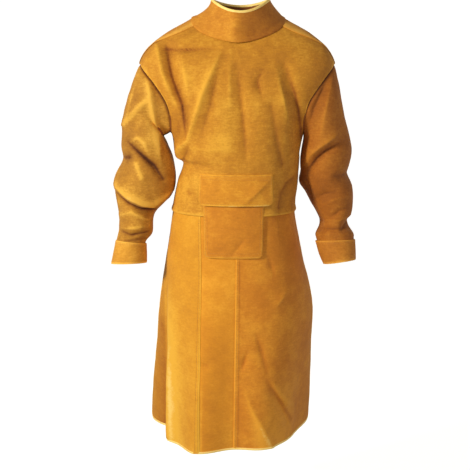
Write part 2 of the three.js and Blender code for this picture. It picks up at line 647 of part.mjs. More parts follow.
// Strap: its ends lie inside the chest panel's side edges, and it passes round the open back
const STRAP_STEPS = 36;
function strapLine(z) {
  const sideStops = (sign) => STRAP_ANGLES.map((angle) => bodyPoint(sign * angle, z, -STRAP_INSET));
  const reach = (row, sign) => (sign < 0 ? -row.left : row.right);
  const backStops = (sign) => STRAP_BACK.map((row) => new THREE.Vector3(reach(row, sign), row.y, z));
  const route = new THREE.CatmullRomCurve3([
    ...sideStops(1),
    ...backStops(1),
    new THREE.Vector3(0, STRAP_MIDDLE_BACK, z),
    ...backStops(-1).reverse(),
    ...sideStops(-1).reverse(),
  ]);
  return route.getPoints(STRAP_STEPS);
}
const strapGrid = [-0.5, 0, 0.5].map((share) => strapLine(STRAP_MIDDLE + share * STRAP_WIDTH));
addPiece('back_strap', looseWall(strapGrid, false), SHADE_COLOUR);

export default apron;
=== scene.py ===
import math

import bmesh
import bpy
import numpy as np
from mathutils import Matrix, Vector, noise


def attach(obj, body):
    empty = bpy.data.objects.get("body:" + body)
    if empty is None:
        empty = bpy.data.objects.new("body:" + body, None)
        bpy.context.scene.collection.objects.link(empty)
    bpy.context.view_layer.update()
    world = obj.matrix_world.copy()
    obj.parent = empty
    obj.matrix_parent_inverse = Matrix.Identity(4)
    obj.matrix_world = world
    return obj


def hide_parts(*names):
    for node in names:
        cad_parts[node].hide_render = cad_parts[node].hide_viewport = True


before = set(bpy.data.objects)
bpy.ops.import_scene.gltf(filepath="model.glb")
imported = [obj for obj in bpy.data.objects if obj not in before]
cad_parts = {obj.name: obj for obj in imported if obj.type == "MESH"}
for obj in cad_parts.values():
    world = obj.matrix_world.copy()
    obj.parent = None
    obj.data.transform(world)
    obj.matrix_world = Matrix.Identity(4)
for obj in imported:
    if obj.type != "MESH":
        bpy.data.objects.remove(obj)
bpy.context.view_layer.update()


# Chest panel. One large split hide with its nap outwards, sewn to the collar at the neck, to the back panels
# along the shoulders and to the sleeves round the armholes. Its straight cut lower edge laps the skirt.
MM = 0.001
LEATHER = 1.6


def table(columns, rows):
    """Rows of a table whose columns are named once."""
    return [dict(zip(columns.split(), row)) for row in rows]


# Level sections of the worn shape in millimetres: half widths, where the sides and front lie in Y, squareness
BODY = table("z left right side front round", [
    (20, 106, 110, 22, 6, 2.1),
    (0, 141, 143, 17, -16, 2.2),
    (-27, 189, 188, 12, -44, 2.2),
    (-64, 233, 229, 8, -70, 2.2),
    (-104, 252, 247, 5, -87, 2.3),
    (-153, 236, 233, 4, -100, 2.3),
    (-202, 207, 205, 4, -109, 2.3),
    (-280, 172, 171, 8, -117, 2.3),
    (-330, 165, 160, 12, -120, 2.3),
    (-344, 161, 160, 13, -121, 2.3),
    (-356, 143, 159, 14, -121, 2.3),
    (-404, 158, 157, 18, -122, 2.3),
    (-480, 174, 152, 25, -125, 2.3),
    (-600, 194, 174, 40, -129, 2.3),
    (-736, 217, 206, 62, -129, 2.2),
    (-860, 231, 210, 92, -126, 2.2),
    (-986, 246, 212, 122, -121, 2.2),
    (-1101, 256, 211, 148, -115, 2.3),
])

# Where the middle of the back lies in Y
BACK = table("z y", [
    (20, 58),
    (-27, 90),
    (-104, 113),
    (-202, 117),
    (-280, 110),
])

# Broad forms of the hanging leather as seen from the front: the path of each, its heights along it, and its
# half width to the right of a path that runs down (above one that runs to the right) and on the other side
FOLD = "name path high wide"
BODY_FORMS = table(FOLD, [
    ("left knee", [(-92, -640), (-96, -1101)], [0, 46], (54, 46)),
    ("right knee", [(66, -740), (54, -1101)], [0, 13], (46, 46)),
    ("centre valley", [(-8, -128), (12, -305)], [-4, -4], (26, 26)),
    ("left armhole hollow", [(-172, -66), (-146, -288)], [-5, -5], (15, 15)),
    ("right armhole hollow", [(116, -112), (146, -268)], [-4, -4], (15, 15)),
])

# Folds in the same terms. Stiff leather breaks along them to an edge.
BODY_FOLDS = table(FOLD, [
    ("shoulder ridge", [(-206, -56), (-186, -130), (-158, -198), (-146, -240)], [5, 10, 9, 0], (7, 18)),
    ("armhole crease", [(-182, -60), (-168, -132), (-141, -206), (-132, -290)], [-5, -10, -11, -4], (15, 8)),
    ("chest pleat", [(-144, -76), (-130, -150), (-120, -215)], [0, 6, 0], (14, 10)),
    ("collar bone crease", [(-186, -66), (-118, -67), (-50, -63)], [-5, -9, -3], (5, 10)),
    ("chest ridge", [(-41, -64), (-62, -115), (-88, -178), (-108, -240), (-130, -297), (-160, -328)],
     [2, 8, 11, 11, 10, 10], (10, 18)),
    ("chest crease", [(-46, -100), (-58, -150), (-70, -203), (-99, -297)], [-1, -5, -5, -1], (16, 9)),
    ("below the ridge", [(-122, -300), (-138, -338), (-142, -375)], [0, -8, 0], (12, 10)),
    ("level ridge", [(-136, -312), (-80, -316), (-10, -312)], [0, 4, 0], (12, 9)),
    ("centre ridge", [(-20, -70), (-22, -140), (-20, -220)], [1, 5, 0], (12, 9)),
    ("centre crease", [(-4, -95), (4, -170), (12, -240), (22, -360)], [0, -6, -6, 0], (10, 9)),
    ("neck pleat", [(62, -112), (47, -146), (62, -196)], [0, -8, 0], (9, 9)),
    ("right pleat", [(92, -104), (116, -200), (134, -280)], [0, 7, 0], (8, 14)),
    ("right armhole crease", [(116, -104), (142, -175), (152, -216), (164, -290)],
     [-3, -9, -13, -12], (10, 12)),
    ("right chest crease", [(82, -205), (112, -355)], [-4, -6], (13, 13)),
    ("left waist dimple", [(-129, -423), (-122, -430)], [-4, -4], (6, 6)),
    ("right waist edge", [(152, -382), (123, -401), (109, -424), (102, -455), (104, -490)],
     [-2, -6, -6, -6, -3], (24, 5)),
    ("left skirt edge", [(-196, -640), (-194, -840), (-192, -1041), (-190, -1090)], [0, 9, 14, 14], (26, 6)),
    ("seam pucker", [(-97, -873), (-83, -864), (-73, -883)], [0, -4, 0], (6, 6)),
    ("left seam ridge", [(-92, -893), (-95, -983), (-98, -1095)], [0, 5, 6], (5, 18)),
    ("upper right crease", [(77, -578), (87, -609), (95, -643)], [0, -4, 0], (7, 9)),
    ("thigh ridge", [(92, -727), (114, -699), (135, -668)], [0, 4, 0], (10, 8)),
    ("thigh crease", [(41, -771), (59, -828), (75, -893)], [0, -6, -2], (12, 7)),
    ("knee pinch", [(24, -830), (14, -867), (4, -896)], [0, -6, 0], (7, 6)),
    ("right hem ridge", [(10, -915), (38, -996), (88, -1095)], [0, 6, 8], (9, 22)),
    ("low crease", [(75, -912), (113, -983), (145, -1049)], [-2, -7, -4], (7, 11)),
    ("low ridge", [(94, -928), (138, -999)], [3, 5], (8, 7)),
])

# The sides of the skirt turn in before its free edges: where that starts and is full, its angle at both, the
# half width in front of it and behind it in degrees, and the full depth; shade is the reach of painted shade
SIDE_TUCKS = [
    dict(name="left", top=-600, full=-1080, angle=(-68, -68), wide=(14, 15), depth=34, crisp=False),
    dict(name="left crease", top=-600, full=-900, angle=(-71, -65), wide=(4, 6), depth=24, crisp=True,
         shade=(1.5, 16)),
    dict(name="right", top=-600, full=-1101, angle=(62, 62), wide=(22, 22), depth=24, crisp=False),
]
FOLDS_FACING = (0.05, 0.45)
CREASE_ROUND = 0.18


def smoothstep(x, low, high):
    share = np.clip((x - low) / (high - low), 0, 1)
    return share * share * (3 - 2 * share)


def lerp(a, b, share):
    return a + (b - a) * share


def through(keys, values, at):
    """Smooth curve through values, which may be numbers or points, at rising keys."""
    keys, values, at = np.asarray(keys, float), np.asarray(values, float), np.asarray(at, float)
    tail = (1,) * (values.ndim - 1)
    index = np.arange(len(keys))
    before, after = np.maximum(index - 1, 0), np.minimum(index + 1, len(keys) - 1)
    slope = (values[after] - values[before]) / (keys[after] - keys[before]).reshape(-1, *tail)
    i = np.clip(np.searchsorted(keys, at) - 1, 0, len(keys) - 2)
    span = keys[i + 1] - keys[i]
    t = np.clip((at - keys[i]) / span, 0, 1).reshape(at.shape + tail)
    span = span.reshape(at.shape + tail)
    start = (2 * t**3 - 3 * t**2 + 1) * values[i] + (t**3 - 2 * t**2 + t) * span * slope[i]
    return start + (3 * t**2 - 2 * t**3) * values[i + 1] + (t**3 - t**2) * span * slope[i + 1]


def column(rows, key, name, at):
    """One column of a table as a smooth curve through its rows."""
    order = sorted(rows, key=lambda row: row[key])
    return through([row[key] for row in order], [row[name] for row in order], at)


def spread(*values):
    """Arrays of one shape."""
    return np.broadcast_arrays(*[np.asarray(value, float) for value in values])


def run_along(points):
    """Length walked at each of some points."""
    return np.concatenate([[0], np.cumsum(np.linalg.norm(np.diff(points, axis=0), axis=1))])


def fold_profile(away, crisp):
    """Share of a fold's height at some half widths away from its line."""
    return np.exp(CREASE_ROUND - np.hypot(away, CREASE_ROUND)) if crisp else np.exp(-(away**2))


def fold_height(folds, x, z, crisp=True, narrowing=1):
    place = np.stack(spread(x, z), -1)
    height = np.zeros(place.shape[:-1])
    for fold in folds:
        path = np.array(fold["path"], float)
        legs = np.diff(path, axis=0)
        lengths = np.linalg.norm(legs, axis=1)
        starts = run_along(path)
        nearest, side, run = np.full(height.shape, np.inf), np.zeros(height.shape), np.zeros(height.shape)
        for corner, leg, length, start in zip(path, legs, lengths, starts):
            way = leg / length
            offset = place - corner
            along = np.clip(offset @ way, 0, length)
            distance = np.linalg.norm(offset - along[..., None] * way, axis=-1)
            closer = distance < nearest
            nearest = np.where(closer, distance, nearest)
            side = np.where(closer, offset[..., 0] * way[1] - offset[..., 1] * way[0], side)
            run = np.where(closer, start + along, run)
        high = np.interp(run / starts[-1], np.linspace(0, 1, len(fold["high"])), fold["high"])
        away = nearest * narrowing / np.where(side < 0, *fold["wide"])
        height += high * fold_profile(away, crisp)
    return height


def body_ring(angle, z):
    """The worn shape without its folds; angles run from 0 at the front to 180 at the back, left is minus."""
    angle, z = spread(angle, z)
    share = np.sin(np.radians(angle))
    squareness = column(BODY, "z", "round", z)
    bow = np.maximum(1 - np.abs(share) ** squareness, 0) ** (1 / squareness)
    in_front = np.cos(np.radians(angle)) >= 0
    middle = np.where(in_front, column(BODY, "z", "front", z), column(BACK, "z", "y", z))
    half = np.where(share < 0, column(BODY, "z", "left", z), column(BODY, "z", "right", z))
    side = column(BODY, "z", "side", z)
    return np.stack([share * half, side + (middle - side) * bow, z], -1)


def unit(vectors):
    return vectors / np.maximum(np.linalg.norm(vectors, axis=-1, keepdims=True), 1e-9)


# Leather never hangs quite evenly: broad and small waves, as height and length in millimetres
WAVES = [(1.3, 85), (0.6, 31), (0.25, 13)]


def wavering(points):
    flat = points.reshape(-1, 3)
    heights = [sum(high * noise.noise(Vector(p / long)) for high, long in WAVES) for p in flat]
    return np.array(heights).reshape(points.shape[:-1])


def tuck_share(tuck, angle, z, wide="wide"):
    share = smoothstep(-z, -tuck["top"], -tuck["full"])
    middle = lerp(*tuck["angle"], share)
    away = (angle - middle) / np.where(np.abs(angle) < np.abs(middle), *tuck[wide])
    return share * fold_profile(away, tuck["crisp"])


def body_point(angle, z, out=0.0):
    """Points on the folded body, moved out by some millimetres, and the ways out of it there."""
    ring = body_ring(angle, z)
    across = body_ring(angle + 1, z) - body_ring(angle - 1, z)
    up = body_ring(angle, z + 2) - body_ring(angle, z - 2)
    normal = unit(np.cross(across, up))
    x, level = ring[..., 0], ring[..., 2]
    height = fold_height(BODY_FORMS, x, level, crisp=False) + fold_height(BODY_FOLDS, x, level)
    height = height * smoothstep(np.cos(np.radians(angle)), *FOLDS_FACING)
    for tuck in SIDE_TUCKS:
        height = height - tuck["depth"] * tuck_share(tuck, angle, level)
    height = height + wavering(ring)
    return ring + normal * (height + out)[..., None], normal


# Edge profiles from the edge inwards: inset and drop in millimetres. A lip turns in to its seam allowance and
# stands proud beside the seam; a tucked edge, or one laid under, goes below the edge of the next piece.
LIP = [(0, 9), (0, 0.9), (1.0, -0.6), (3.6, -0.9), (9, -0.2)]
TUCKED = [(0, 9), (0, 2.4), (1.0, 1.7), (3.6, 0.9), (9, 0.2)]
UNDER = [(-6, 2.4), (-3, 1.4), (1.0, 0.5), (3.6, 0.3), (9, 0)]
CUT = [(0, 0), (1.5, 0)]
PROUD_CUT = [(0, -1.2), (1.2, -1.9), (6, -1.5), (16, 0)]


def stops(count, size, start, end):
    """Places across a panel from 0 to 1 with its edge profiles, and how far the leather drops at each."""
    even = np.linspace(0, 1, count + 1) * size
    inner = even[(even > start[-1][0] + 1) & (even < size - end[-1][0] - 1)] / size
    places = [inset / size for inset, _ in start] + list(inner) + [1 - inset / size for inset, _ in end[::-1]]
    drops = [drop for _, drop in start] + [0.0] * len(inner) + [drop for _, drop in end[::-1]]
    return np.array(places), np.array(drops)


def grid_normals(points, closed=False):
    """Ways out of a grid whose rows run up and columns left to right, seen from outside."""
    if closed:
        ring = points[:, :-1]
        across_way = np.roll(ring, -1, axis=1) - np.roll(ring, 1, axis=1)
        across_way = np.concatenate([across_way, across_way[:, :1]], axis=1)
    else:
        across_way = np.gradient(points, axis=1)
    return unit(np.cross(across_way, np.gradient(points, axis=0)))


EDGE_REACH, SEAM_REACH = 4.5, 6
# Fold shading: ridge height for a full painted highlight, crease depth for full painted shade, how much
# narrower the painted lines are than the folds, and the limits of the painted shading
RIDGE_HIGHLIGHT, CREASE_SHADE, FOLD_SHADING_NARROWING, FOLD_SHADING_LIMITS = 9, 7, 2.6, (-1.5, 0.6)
# Painted light and shade fade out on faces that turn away from the front
SHADING_FACING = (0.15, 0.5)

# Places painted paler, in the terms of the folds: painted light where the lamp falls on the front, with some
# rubbing
LIT_AND_RUBBED_AREAS = table(FOLD, [
    ("chest middle", [(-30, -225), (-38, -300)], [0.4, 0.6], (30, 30)),
    ("right knee", [(50, -800), (110, -1080)], [0.2, 0.7], (80, 60)),
    ("left front edge", [(-188, -640), (-186, -800), (-180, -1090)], [0, 0.7, 1.1], (34, 10)),
])


def edge_rub_and_shade(shares, size, start, end, reach=EDGE_REACH):
    """Rubbing along the two edges of a panel, from none (0) to pale (1 and more), or painted seam shadow
    below 0.
    """
    from_start, from_end = shares * size / reach, (1 - shares) * size / reach
    return start * np.exp(-(from_start**2)) + end * np.exp(-(from_end**2))


def front_facing(points, closed=False):
    return smoothstep(-grid_normals(points, closed)[..., 1], *SHADING_FACING)


def fold_highlight_and_shade(folds, points, closed=False):
    """Ridges on the front are painted lighter as highlight, with some rubbing, and creases are painted darker
    as shade.
    """
    height = fold_height(folds, points[..., 0], points[..., 2], narrowing=FOLD_SHADING_NARROWING)
    wear_and_shading = np.where(height > 0, height / RIDGE_HIGHLIGHT, height / CREASE_SHADE)
    return np.clip(wear_and_shading, *FOLD_SHADING_LIMITS) * front_facing(points, closed)


# Paler patches on the front: painted light, with some rubbing
def lit_and_rubbed_patches(points):
    return fold_height(LIT_AND_RUBBED_AREAS, points[..., 0], points[..., 2], crisp=False) * front_facing(points)


def smooth_mesh(name, shape):
    """Finished mesh of a worked shape."""
    for face in shape.faces:
        face.smooth = True
    mesh = bpy.data.meshes.new(name)
    shape.to_mesh(mesh)
    shape.free()
    return mesh


def placed(name, data):
    """An object of the scene that holds a mesh, a lamp or a camera."""
    item = bpy.data.objects.new(name, data)
    bpy.context.scene.collection.objects.link(item)
    return item


WELD = 0.01


def leather_grid(name, points, wear_and_shading, closed=False):
    """Mesh of a grid of points: rows run up and columns left to right, seen from the nap side."""
    rows, columns = points.shape[:2]
    wear_and_shading = np.broadcast_to(wear_and_shading, points.shape[:2])
    shape = bmesh.new()
    bmesh.ops.create_grid(shape, x_segments=columns - 1, y_segments=rows - 1, size=0.5)
    # The attribute holds rubbing together with painted highlight and shade
    worn = shape.verts.layers.float.new("worn")
    for vert in shape.verts:
        place = round((vert.co.y + 0.5) * (rows - 1)), round((vert.co.x + 0.5) * (columns - 1))
        vert.co = Vector(points[place]) * MM
        vert[worn] = wear_and_shading[place]
    if closed:
        bmesh.ops.remove_doubles(shape, verts=shape.verts, dist=WELD * MM)
    return placed(name, smooth_mesh(name, shape))


EDGE_ROUNDING, SHARP_EDGE = 0.35, 55


def thicken(piece, thickness=LEATHER):
    """Leather of one thickness below its nap side, with softened cut edges and its own finish inside."""
    wall = piece.modifiers.new("leather", "SOLIDIFY")
    wall.thickness = thickness * MM
    wall.offset = -1
    wall.material_offset = 1
    edge = piece.modifiers.new("cut edge", "BEVEL")
    edge.width = EDGE_ROUNDING * MM
    edge.segments = 2
    edge.limit_method = "ANGLE"
    edge.angle_limit = math.radians(SHARP_EDGE)
    return piece


class Socket:
    """A value in a finish. Sums and products of it add the finish's maths nodes."""

    def __init__(self, finish, socket):
        self.finish = finish
        self.socket = socket

    def maths(self, operation, first, second):
        return self.finish.node("ShaderNodeMath", {"operation": operation}, {0: first, 1: second})

    def __add__(self, other):
        return self.maths("ADD", self, other)

    def __radd__(self, other):
        return self.maths("ADD", other, self)

    def __sub__(self, other):
        return self.maths("SUBTRACT", self, other)

    def __rsub__(self, other):
        return self.maths("SUBTRACT", other, self)

    def __mul__(self, other):
        return self.maths("MULTIPLY", self, other)

    def __rmul__(self, other):
        return self.maths("MULTIPLY", other, self)


class Finish:
    """A material made of nodes."""

    def __init__(self, name):
        self.material = bpy.data.materials.new(name)
        self.material.use_nodes = True
        self.tree = self.material.node_tree
        self.shader = self.tree.nodes["Principled BSDF"]

    def feed(self, socket, value):
        if isinstance(value, Socket):
            self.tree.links.new(value.socket, socket)
        else:
            socket.default_value = value

    def node(self, kind, settings=None, sockets=None, output=0):
        made = self.tree.nodes.new(kind)
        for key, value in (settings or {}).items():
            if key == "stops":
                ramp = made.color_ramp.elements
                while len(ramp) < len(value):
                    ramp.new(0.5)
                for element, (place, colour) in zip(ramp, value):
                    element.position = place
                    element.color = colour
            else:
                setattr(made, key, value)
        for key, value in (sockets or {}).items():
            self.feed(made.inputs[key], value)
        return Socket(self, made.outputs[output])

    def coat(self, inputs):
        """The finished material, with these inputs of its shader."""
        for key, value in inputs.items():
            self.feed(self.shader.inputs[key], value)
        return self.material


def srgb(red, green, blue):
    def linear(level):
        level /= 255
        return level / 12.92 if level <= 0.04045 else ((level + 0.055) / 1.055) ** 2.4

    return (linear(red), linear(green), linear(blue), 1.0)


# Tones of the nap: palest (rubbed pale and painted highlight), darkest (painted shadow in seams and creases),
# how far rubbing and painted light and shade shift the tone, where the middle and light tones lie, the room
# below the deep tone for the painted shadow, and the shares of patches, mottle, streaks and nap in blotches
PALE_RUB_AND_HIGHLIGHT, SEAM_SHADE = srgb(250, 208, 108), srgb(76, 38, 8)
WEAR_AND_SHADING_SHIFT, MIDDLE_TONE, LIGHT_FROM, LIGHT_TO, SHADE_ROOM = 0.36, 0.42, 0.68, 0.8, 0.25
PATCHES, MOTTLE, STREAKS, NAP = 0.6, 0.4, 0.35, 0.35


def suede(name, light, middle, deep, seed, wear_and_shading_shift=WEAR_AND_SHADING_SHIFT, blotched=1.0):
    """Split leather: brushed nap in blotches of a few sizes, sideways streaks and a fine fibre bump."""
    finish = Finish(name)
    place = finish.node("ShaderNodeTexCoord", output="Object")
    shift = (seed, 0.37 * seed, -seed)
    moved = finish.node("ShaderNodeMapping", sockets={"Vector": place, "Location": shift})

    def blotches(scale, detail, rough, vector=moved):
        sockets = {"Vector": vector, "Scale": scale, "Detail": detail, "Roughness": rough}
        return finish.node("ShaderNodeTexNoise", sockets=sockets)

    drawn = finish.node("ShaderNodeMapping", sockets={"Vector": moved, "Scale": (1.0, 1.0, 4.0)})
    # The attribute carries rubbed edges together with painted highlight and shade on folds, seams, tucks and
    # collar
    worn = finish.node("ShaderNodeAttribute", {"attribute_name": "worn"}, output="Fac")
    patches = blotches(8.0, 3.0, 0.55)
    mottle = blotches(38.0, 4.0, 0.6)
    streaks = blotches(70.0, 4.0, 0.6, drawn)
    nap = blotches(210.0, 4.0, 0.7)
    fibre = blotches(900.0, 3.0, 0.6)
    blotchy = (patches - 0.5) * PATCHES + (mottle - 0.5) * MOTTLE
    blotchy = blotchy + (streaks - 0.5) * STREAKS + (nap - 0.5) * NAP
    tone = lerp(SHADE_ROOM, 1, MIDDLE_TONE + blotchy * blotched + worn * wear_and_shading_shift)
    tones = [(0.0, deep), (MIDDLE_TONE, middle), (LIGHT_FROM, light), (LIGHT_TO, light), (1.0, PALE_RUB_AND_HIGHLIGHT)]
    tones = [(0.0, SEAM_SHADE)] + [(lerp(SHADE_ROOM, 1, place), shade) for place, shade in tones]
    colour = finish.node("ShaderNodeValToRGB", {"stops": tones}, {"Fac": tone})
    height = nap * 0.4 + fibre * 0.25 + mottle * 0.35
    bump = finish.node("ShaderNodeBump", sockets={"Strength": 0.45, "Distance": 1.0 * MM, "Height": height})
    return finish.coat({
        "Base Color": colour, "Roughness": 0.98 - 0.22 * nap, "Normal": bump, "Specular IOR Level": 0.25,
        "Sheen Weight": 0.1, "Sheen Roughness": 0.45, "Sheen Tint": srgb(255, 214, 130),
    })


# The inside is darker than the nap side: partly its own flesh side colour, partly painted shade of the hollow
# inside
flesh_and_shade_tones = (srgb(168, 104, 44), srgb(140, 80, 30), srgb(104, 54, 20))
inside = suede("flesh side", *flesh_and_shade_tones, seed=2.0, wear_and_shading_shift=0.0)


def leather_piece(name, node, points, finish, wear_and_shading=0.0, thickness=LEATHER, closed=False):
    """A finished piece of leather that stands for one node of the solid model."""
    piece = thicken(leather_grid(name, points, wear_and_shading, closed), thickness)
    piece.data.materials.append(finish)
    piece.data.materials.append(inside)
    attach(piece, "root")
    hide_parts(node)
    return piece


def thread_finish():
    """Spun thread: golden, with its twist as fine slanted bands."""
    finish = Finish("golden thread")
    place = finish.node("ShaderNodeTexCoord", output="Object")
    turned = finish.node("ShaderNodeMapping", sockets={"Vector": place, "Rotation": (0.6, 0.5, 0.7)})
    twist = finish.node("ShaderNodeTexWave", sockets={"Vector": turned, "Scale": 700.0, "Distortion": 1.0})
    twist_stops = [(0.0, srgb(150, 92, 26)), (1.0, srgb(214, 150, 56))]
    colour = finish.node("ShaderNodeValToRGB", {"stops": twist_stops}, {"Fac": twist})
    return finish.coat({"Base Color": colour, "Roughness": 0.75 - 0.2 * twist})


golden_thread = thread_finish()
STITCH_LENGTH, STITCH_PITCH = 3.4, 4.3
THREAD, THREAD_FLATNESS = 0.75, 0.8
PROUD = 0.25


def point_at(at, run, points):
    """The point of a walk at some length along it."""
    return np.array([np.interp(at, run, part) for part in points.T])


def stitch_rows(name, rows):
    """Rows of lockstitch: a short hump of thread for each stitch along rows of points and their ways out."""
    hump = bmesh.new()
    bmesh.ops.create_uvsphere(hump, u_segments=6, v_segments=4, radius=0.5)
    bmesh.ops.scale(hump, vec=(THREAD, THREAD * THREAD_FLATNESS, STITCH_LENGTH), verts=hump.verts)
    hump.verts.index_update()
    shape = np.array([vert.co for vert in hump.verts])
    faces = [[vert.index for vert in face.verts] for face in hump.faces]
    hump.free()
    verts, polygons = [], []
    for points, normals in rows:
        run = run_along(points)
        for at in np.arange(STITCH_PITCH / 2, run[-1], STITCH_PITCH):
            along = unit(point_at(at + 1, run, points) - point_at(at - 1, run, points))
            out = unit(point_at(at, run, normals))
            frame_of_stitch = np.stack([np.cross(out, along), out, along])
            polygons += [[len(verts) + index for index in face] for face in faces]
            verts += list((shape @ frame_of_stitch + point_at(at, run, points)) * MM)
    mesh = bpy.data.meshes.new(name)
    mesh.from_pydata([tuple(vert) for vert in verts], [], polygons)
    mesh.shade_smooth()
    mesh.materials.append(golden_thread)
    piece = placed(name, mesh)
    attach(piece, "root")
    return piece


# Outline of the chest panel on the body, as angles and heights
NECK_FRONT, NECK_SIDE, NECK_BACK, NECK_DIP = -49, 14, 10, 0.3
NECK_END = 52
SHOULDER_TIP, ARMPIT, ARMHOLE_BITE = -104, -280, 30
SIDE_EDGE = 90
BODICE_HEM = -482
SHOULDER_SHARE = 7 / 26
SHOULDER_SEAM = table("at angle z", [
    (0, 52, -0.7),
    (0.3, 58, -20),
    (0.6, 69, -38),
    (0.82, 80, -60),
    (1, 90, -104),
])


def places(angle, z):
    return np.stack(spread(angle, z), -1)


def mirrored(place):
    return place * np.array([-1, 1])


def neck_height(angle):
    share = np.abs(np.sin(np.radians(angle)))
    rise = (1 + NECK_DIP) * share**2 / (share + NECK_DIP)
    front = lerp(NECK_FRONT, NECK_SIDE, rise)
    return np.where(np.cos(np.radians(angle)) < 0, lerp(NECK_BACK, NECK_SIDE, share), front)


def shoulder_seam(t):
    t = np.clip(t, 0, 1)
    return places(column(SHOULDER_SEAM, "at", "angle", t), column(SHOULDER_SEAM, "at", "z", t))


def armhole(t, way):
    """From the tip of the shoulder (0) to the armpit (1), on the front (way -1) or the back (way 1)."""
    fall = (1 - np.cos(np.pi * np.clip(t, 0, 1))) / 2
    bite = ARMHOLE_BITE * np.sqrt(np.maximum(np.sin(np.pi * fall), 0))
    return places(SIDE_EDGE + way * bite, lerp(SHOULDER_TIP, ARMPIT, fall))


def chest_top(u):
    neck_angle = lerp(-NECK_END, NECK_END, (u - SHOULDER_SHARE) / (1 - 2 * SHOULDER_SHARE))
    neck = places(neck_angle, neck_height(neck_angle))
    left = mirrored(shoulder_seam(1 - u / SHOULDER_SHARE))
    right = shoulder_seam(1 - (1 - u) / SHOULDER_SHARE)
    on_left, on_right = (u < SHOULDER_SHARE)[..., None], (u > 1 - SHOULDER_SHARE)[..., None]
    return np.where(on_left, left, np.where(on_right, right, neck))


def chest_side(v):
    edge = places(SIDE_EDGE, lerp(BODICE_HEM, ARMPIT, v * 2))
    return np.where((v < 0.5)[..., None], edge, armhole(2 - v * 2, -1))


def chest_hem(u):
    return places(lerp(-SIDE_EDGE, SIDE_EDGE, u), BODICE_HEM)


def between(bottom, top, left, right, u, v):
    """Place in a patch between four edges."""
    u, v = spread(u, v)
    zero, one = np.zeros_like(u), np.ones_like(u)
    ruled = lerp(bottom(u), top(u), v[..., None]) + lerp(left(v), right(v), u[..., None])
    low = lerp(bottom(zero), bottom(one), u[..., None])
    high = lerp(top(zero), top(one), u[..., None])
    return ruled - lerp(low, high, v[..., None])


def on_chest(u, v, out=0.0):
    place = between(chest_hem, chest_top, lambda s: mirrored(chest_side(s)), chest_side, u, v)
    return body_point(place[..., 0], place[..., 1], out)


CHEST_ACROSS, CHEST_UP = 560, 440
CHEST_COLUMNS, CHEST_ROWS = 168, 150
# Pale rubbed sides and lower edge, and the top edge painted dark as the shadow at the neck and shoulder seams
CHEST_SIDE_WEAR, CHEST_HEM_WEAR, CHEST_SEAM_SHADE = (0.8, 0.8), (0.9, 0), (0, -4)
across, across_drop = stops(CHEST_COLUMNS, CHEST_ACROSS, LIP, LIP)
up, up_drop = stops(CHEST_ROWS, CHEST_UP, PROUD_CUT, UNDER)
chest_points, _ = on_chest(across[None, :], up[:, None], -across_drop[None, :] - up_drop[:, None])
# Painted fold highlight and crease shade, lit and rubbed patches, rubbed edges and painted seam shadow
chest_wear_and_shading = fold_highlight_and_shade(BODY_FOLDS, chest_points) + lit_and_rubbed_patches(chest_points)
chest_wear_and_shading = chest_wear_and_shading + edge_rub_and_shade(across, CHEST_ACROSS, *CHEST_SIDE_WEAR)[None, :]
chest_wear_and_shading = chest_wear_and_shading + edge_rub_and_shade(up, CHEST_UP, *CHEST_HEM_WEAR)[:, None]
chest_wear_and_shading = chest_wear_and_shading + edge_rub_and_shade(up, CHEST_UP, *CHEST_SEAM_SHADE, SEAM_REACH)[:, None]
chest_tones = (srgb(226, 166, 50), srgb(196, 132, 31), srgb(142, 80, 14))
chest_suede = suede("chest suede", *chest_tones, seed=0.0, blotched=1.1)
chest = leather_piece("chest_panel", "bodice_front", chest_points, chest_suede, chest_wear_and_shading)

# Stitch rows: millimetres above the lower edge, and shares of the panel in from the sides and up to the top
HEM_STITCHES, SIDE_STITCHES, TOP_STITCHES = (5, 11), (0.009, 0.991), 0.987
hem_run = np.linspace(0.02, 0.98, 160)
armhole_run = np.linspace(0.52, 0.985, 90)
shoulder_run = np.linspace(0.015, SHOULDER_SHARE - 0.01, 50)
neck_run = np.linspace(SHOULDER_SHARE + 0.01, 1 - SHOULDER_SHARE - 0.01, 70)
chest_stitching = stitch_rows(
    "chest_stitching",
    [on_chest(hem_run, rise / CHEST_UP, PROUD) for rise in HEM_STITCHES]
    + [on_chest(edge, armhole_run, PROUD) for edge in SIDE_STITCHES]
    + [on_chest(run, TOP_STITCHES, PROUD) for run in (shoulder_run, 1 - shoulder_run, neck_run)],
)


# Back panels. Two plain pieces of the same split hide that come over the shoulders to the shoulder seams and
# end below the shoulder blades, with the middle of the back left open.
SIDES = (("left", -1), ("right", 1))
BACK_HEM, BACK_EDGE, BACK_CORNER, BACK_SHIFT, BACK_LAP = -250, 168, 0.7, 0.7, 110
NECK_TUCK, NECK_TUCK_FADE = 6, 0.08
back_fall = (BACK_HEM - SHOULDER_TIP) / (ARMPIT - SHOULDER_TIP)
back_armhole_end = math.acos(1 - 2 * back_fall) / math.pi


def back_outer(v):
    return armhole(back_armhole_end * (1 - v), 1)


def back_inner(v):
    """Up the middle of the back and round the neck, where the edge goes on under the collar."""
    top = neck_height(np.array(BACK_EDGE)) + NECK_TUCK
    down = places(BACK_EDGE, lerp(BACK_HEM, top, v / BACK_CORNER))
    angle = lerp(BACK_EDGE, NECK_END, (v - BACK_CORNER) / (1 - BACK_CORNER))
    neck = places(angle, neck_height(angle) + NECK_TUCK * smoothstep(1 - v, 0, NECK_TUCK_FADE))
    return np.where((v < BACK_CORNER)[..., None], down, neck)


def back_hem(u):
    return places(lerp(back_outer(np.zeros(1))[0, 0], BACK_EDGE, u), BACK_HEM)


def on_back(u, v, sign, out=0.0):
    place = between(back_hem, lambda s: shoulder_seam(1 - s), back_outer, back_inner, u, v)
    turn = BACK_SHIFT - BACK_LAP * np.maximum(v - 1, 0)
    return body_point(sign * (place[..., 0] + turn), place[..., 1], out)


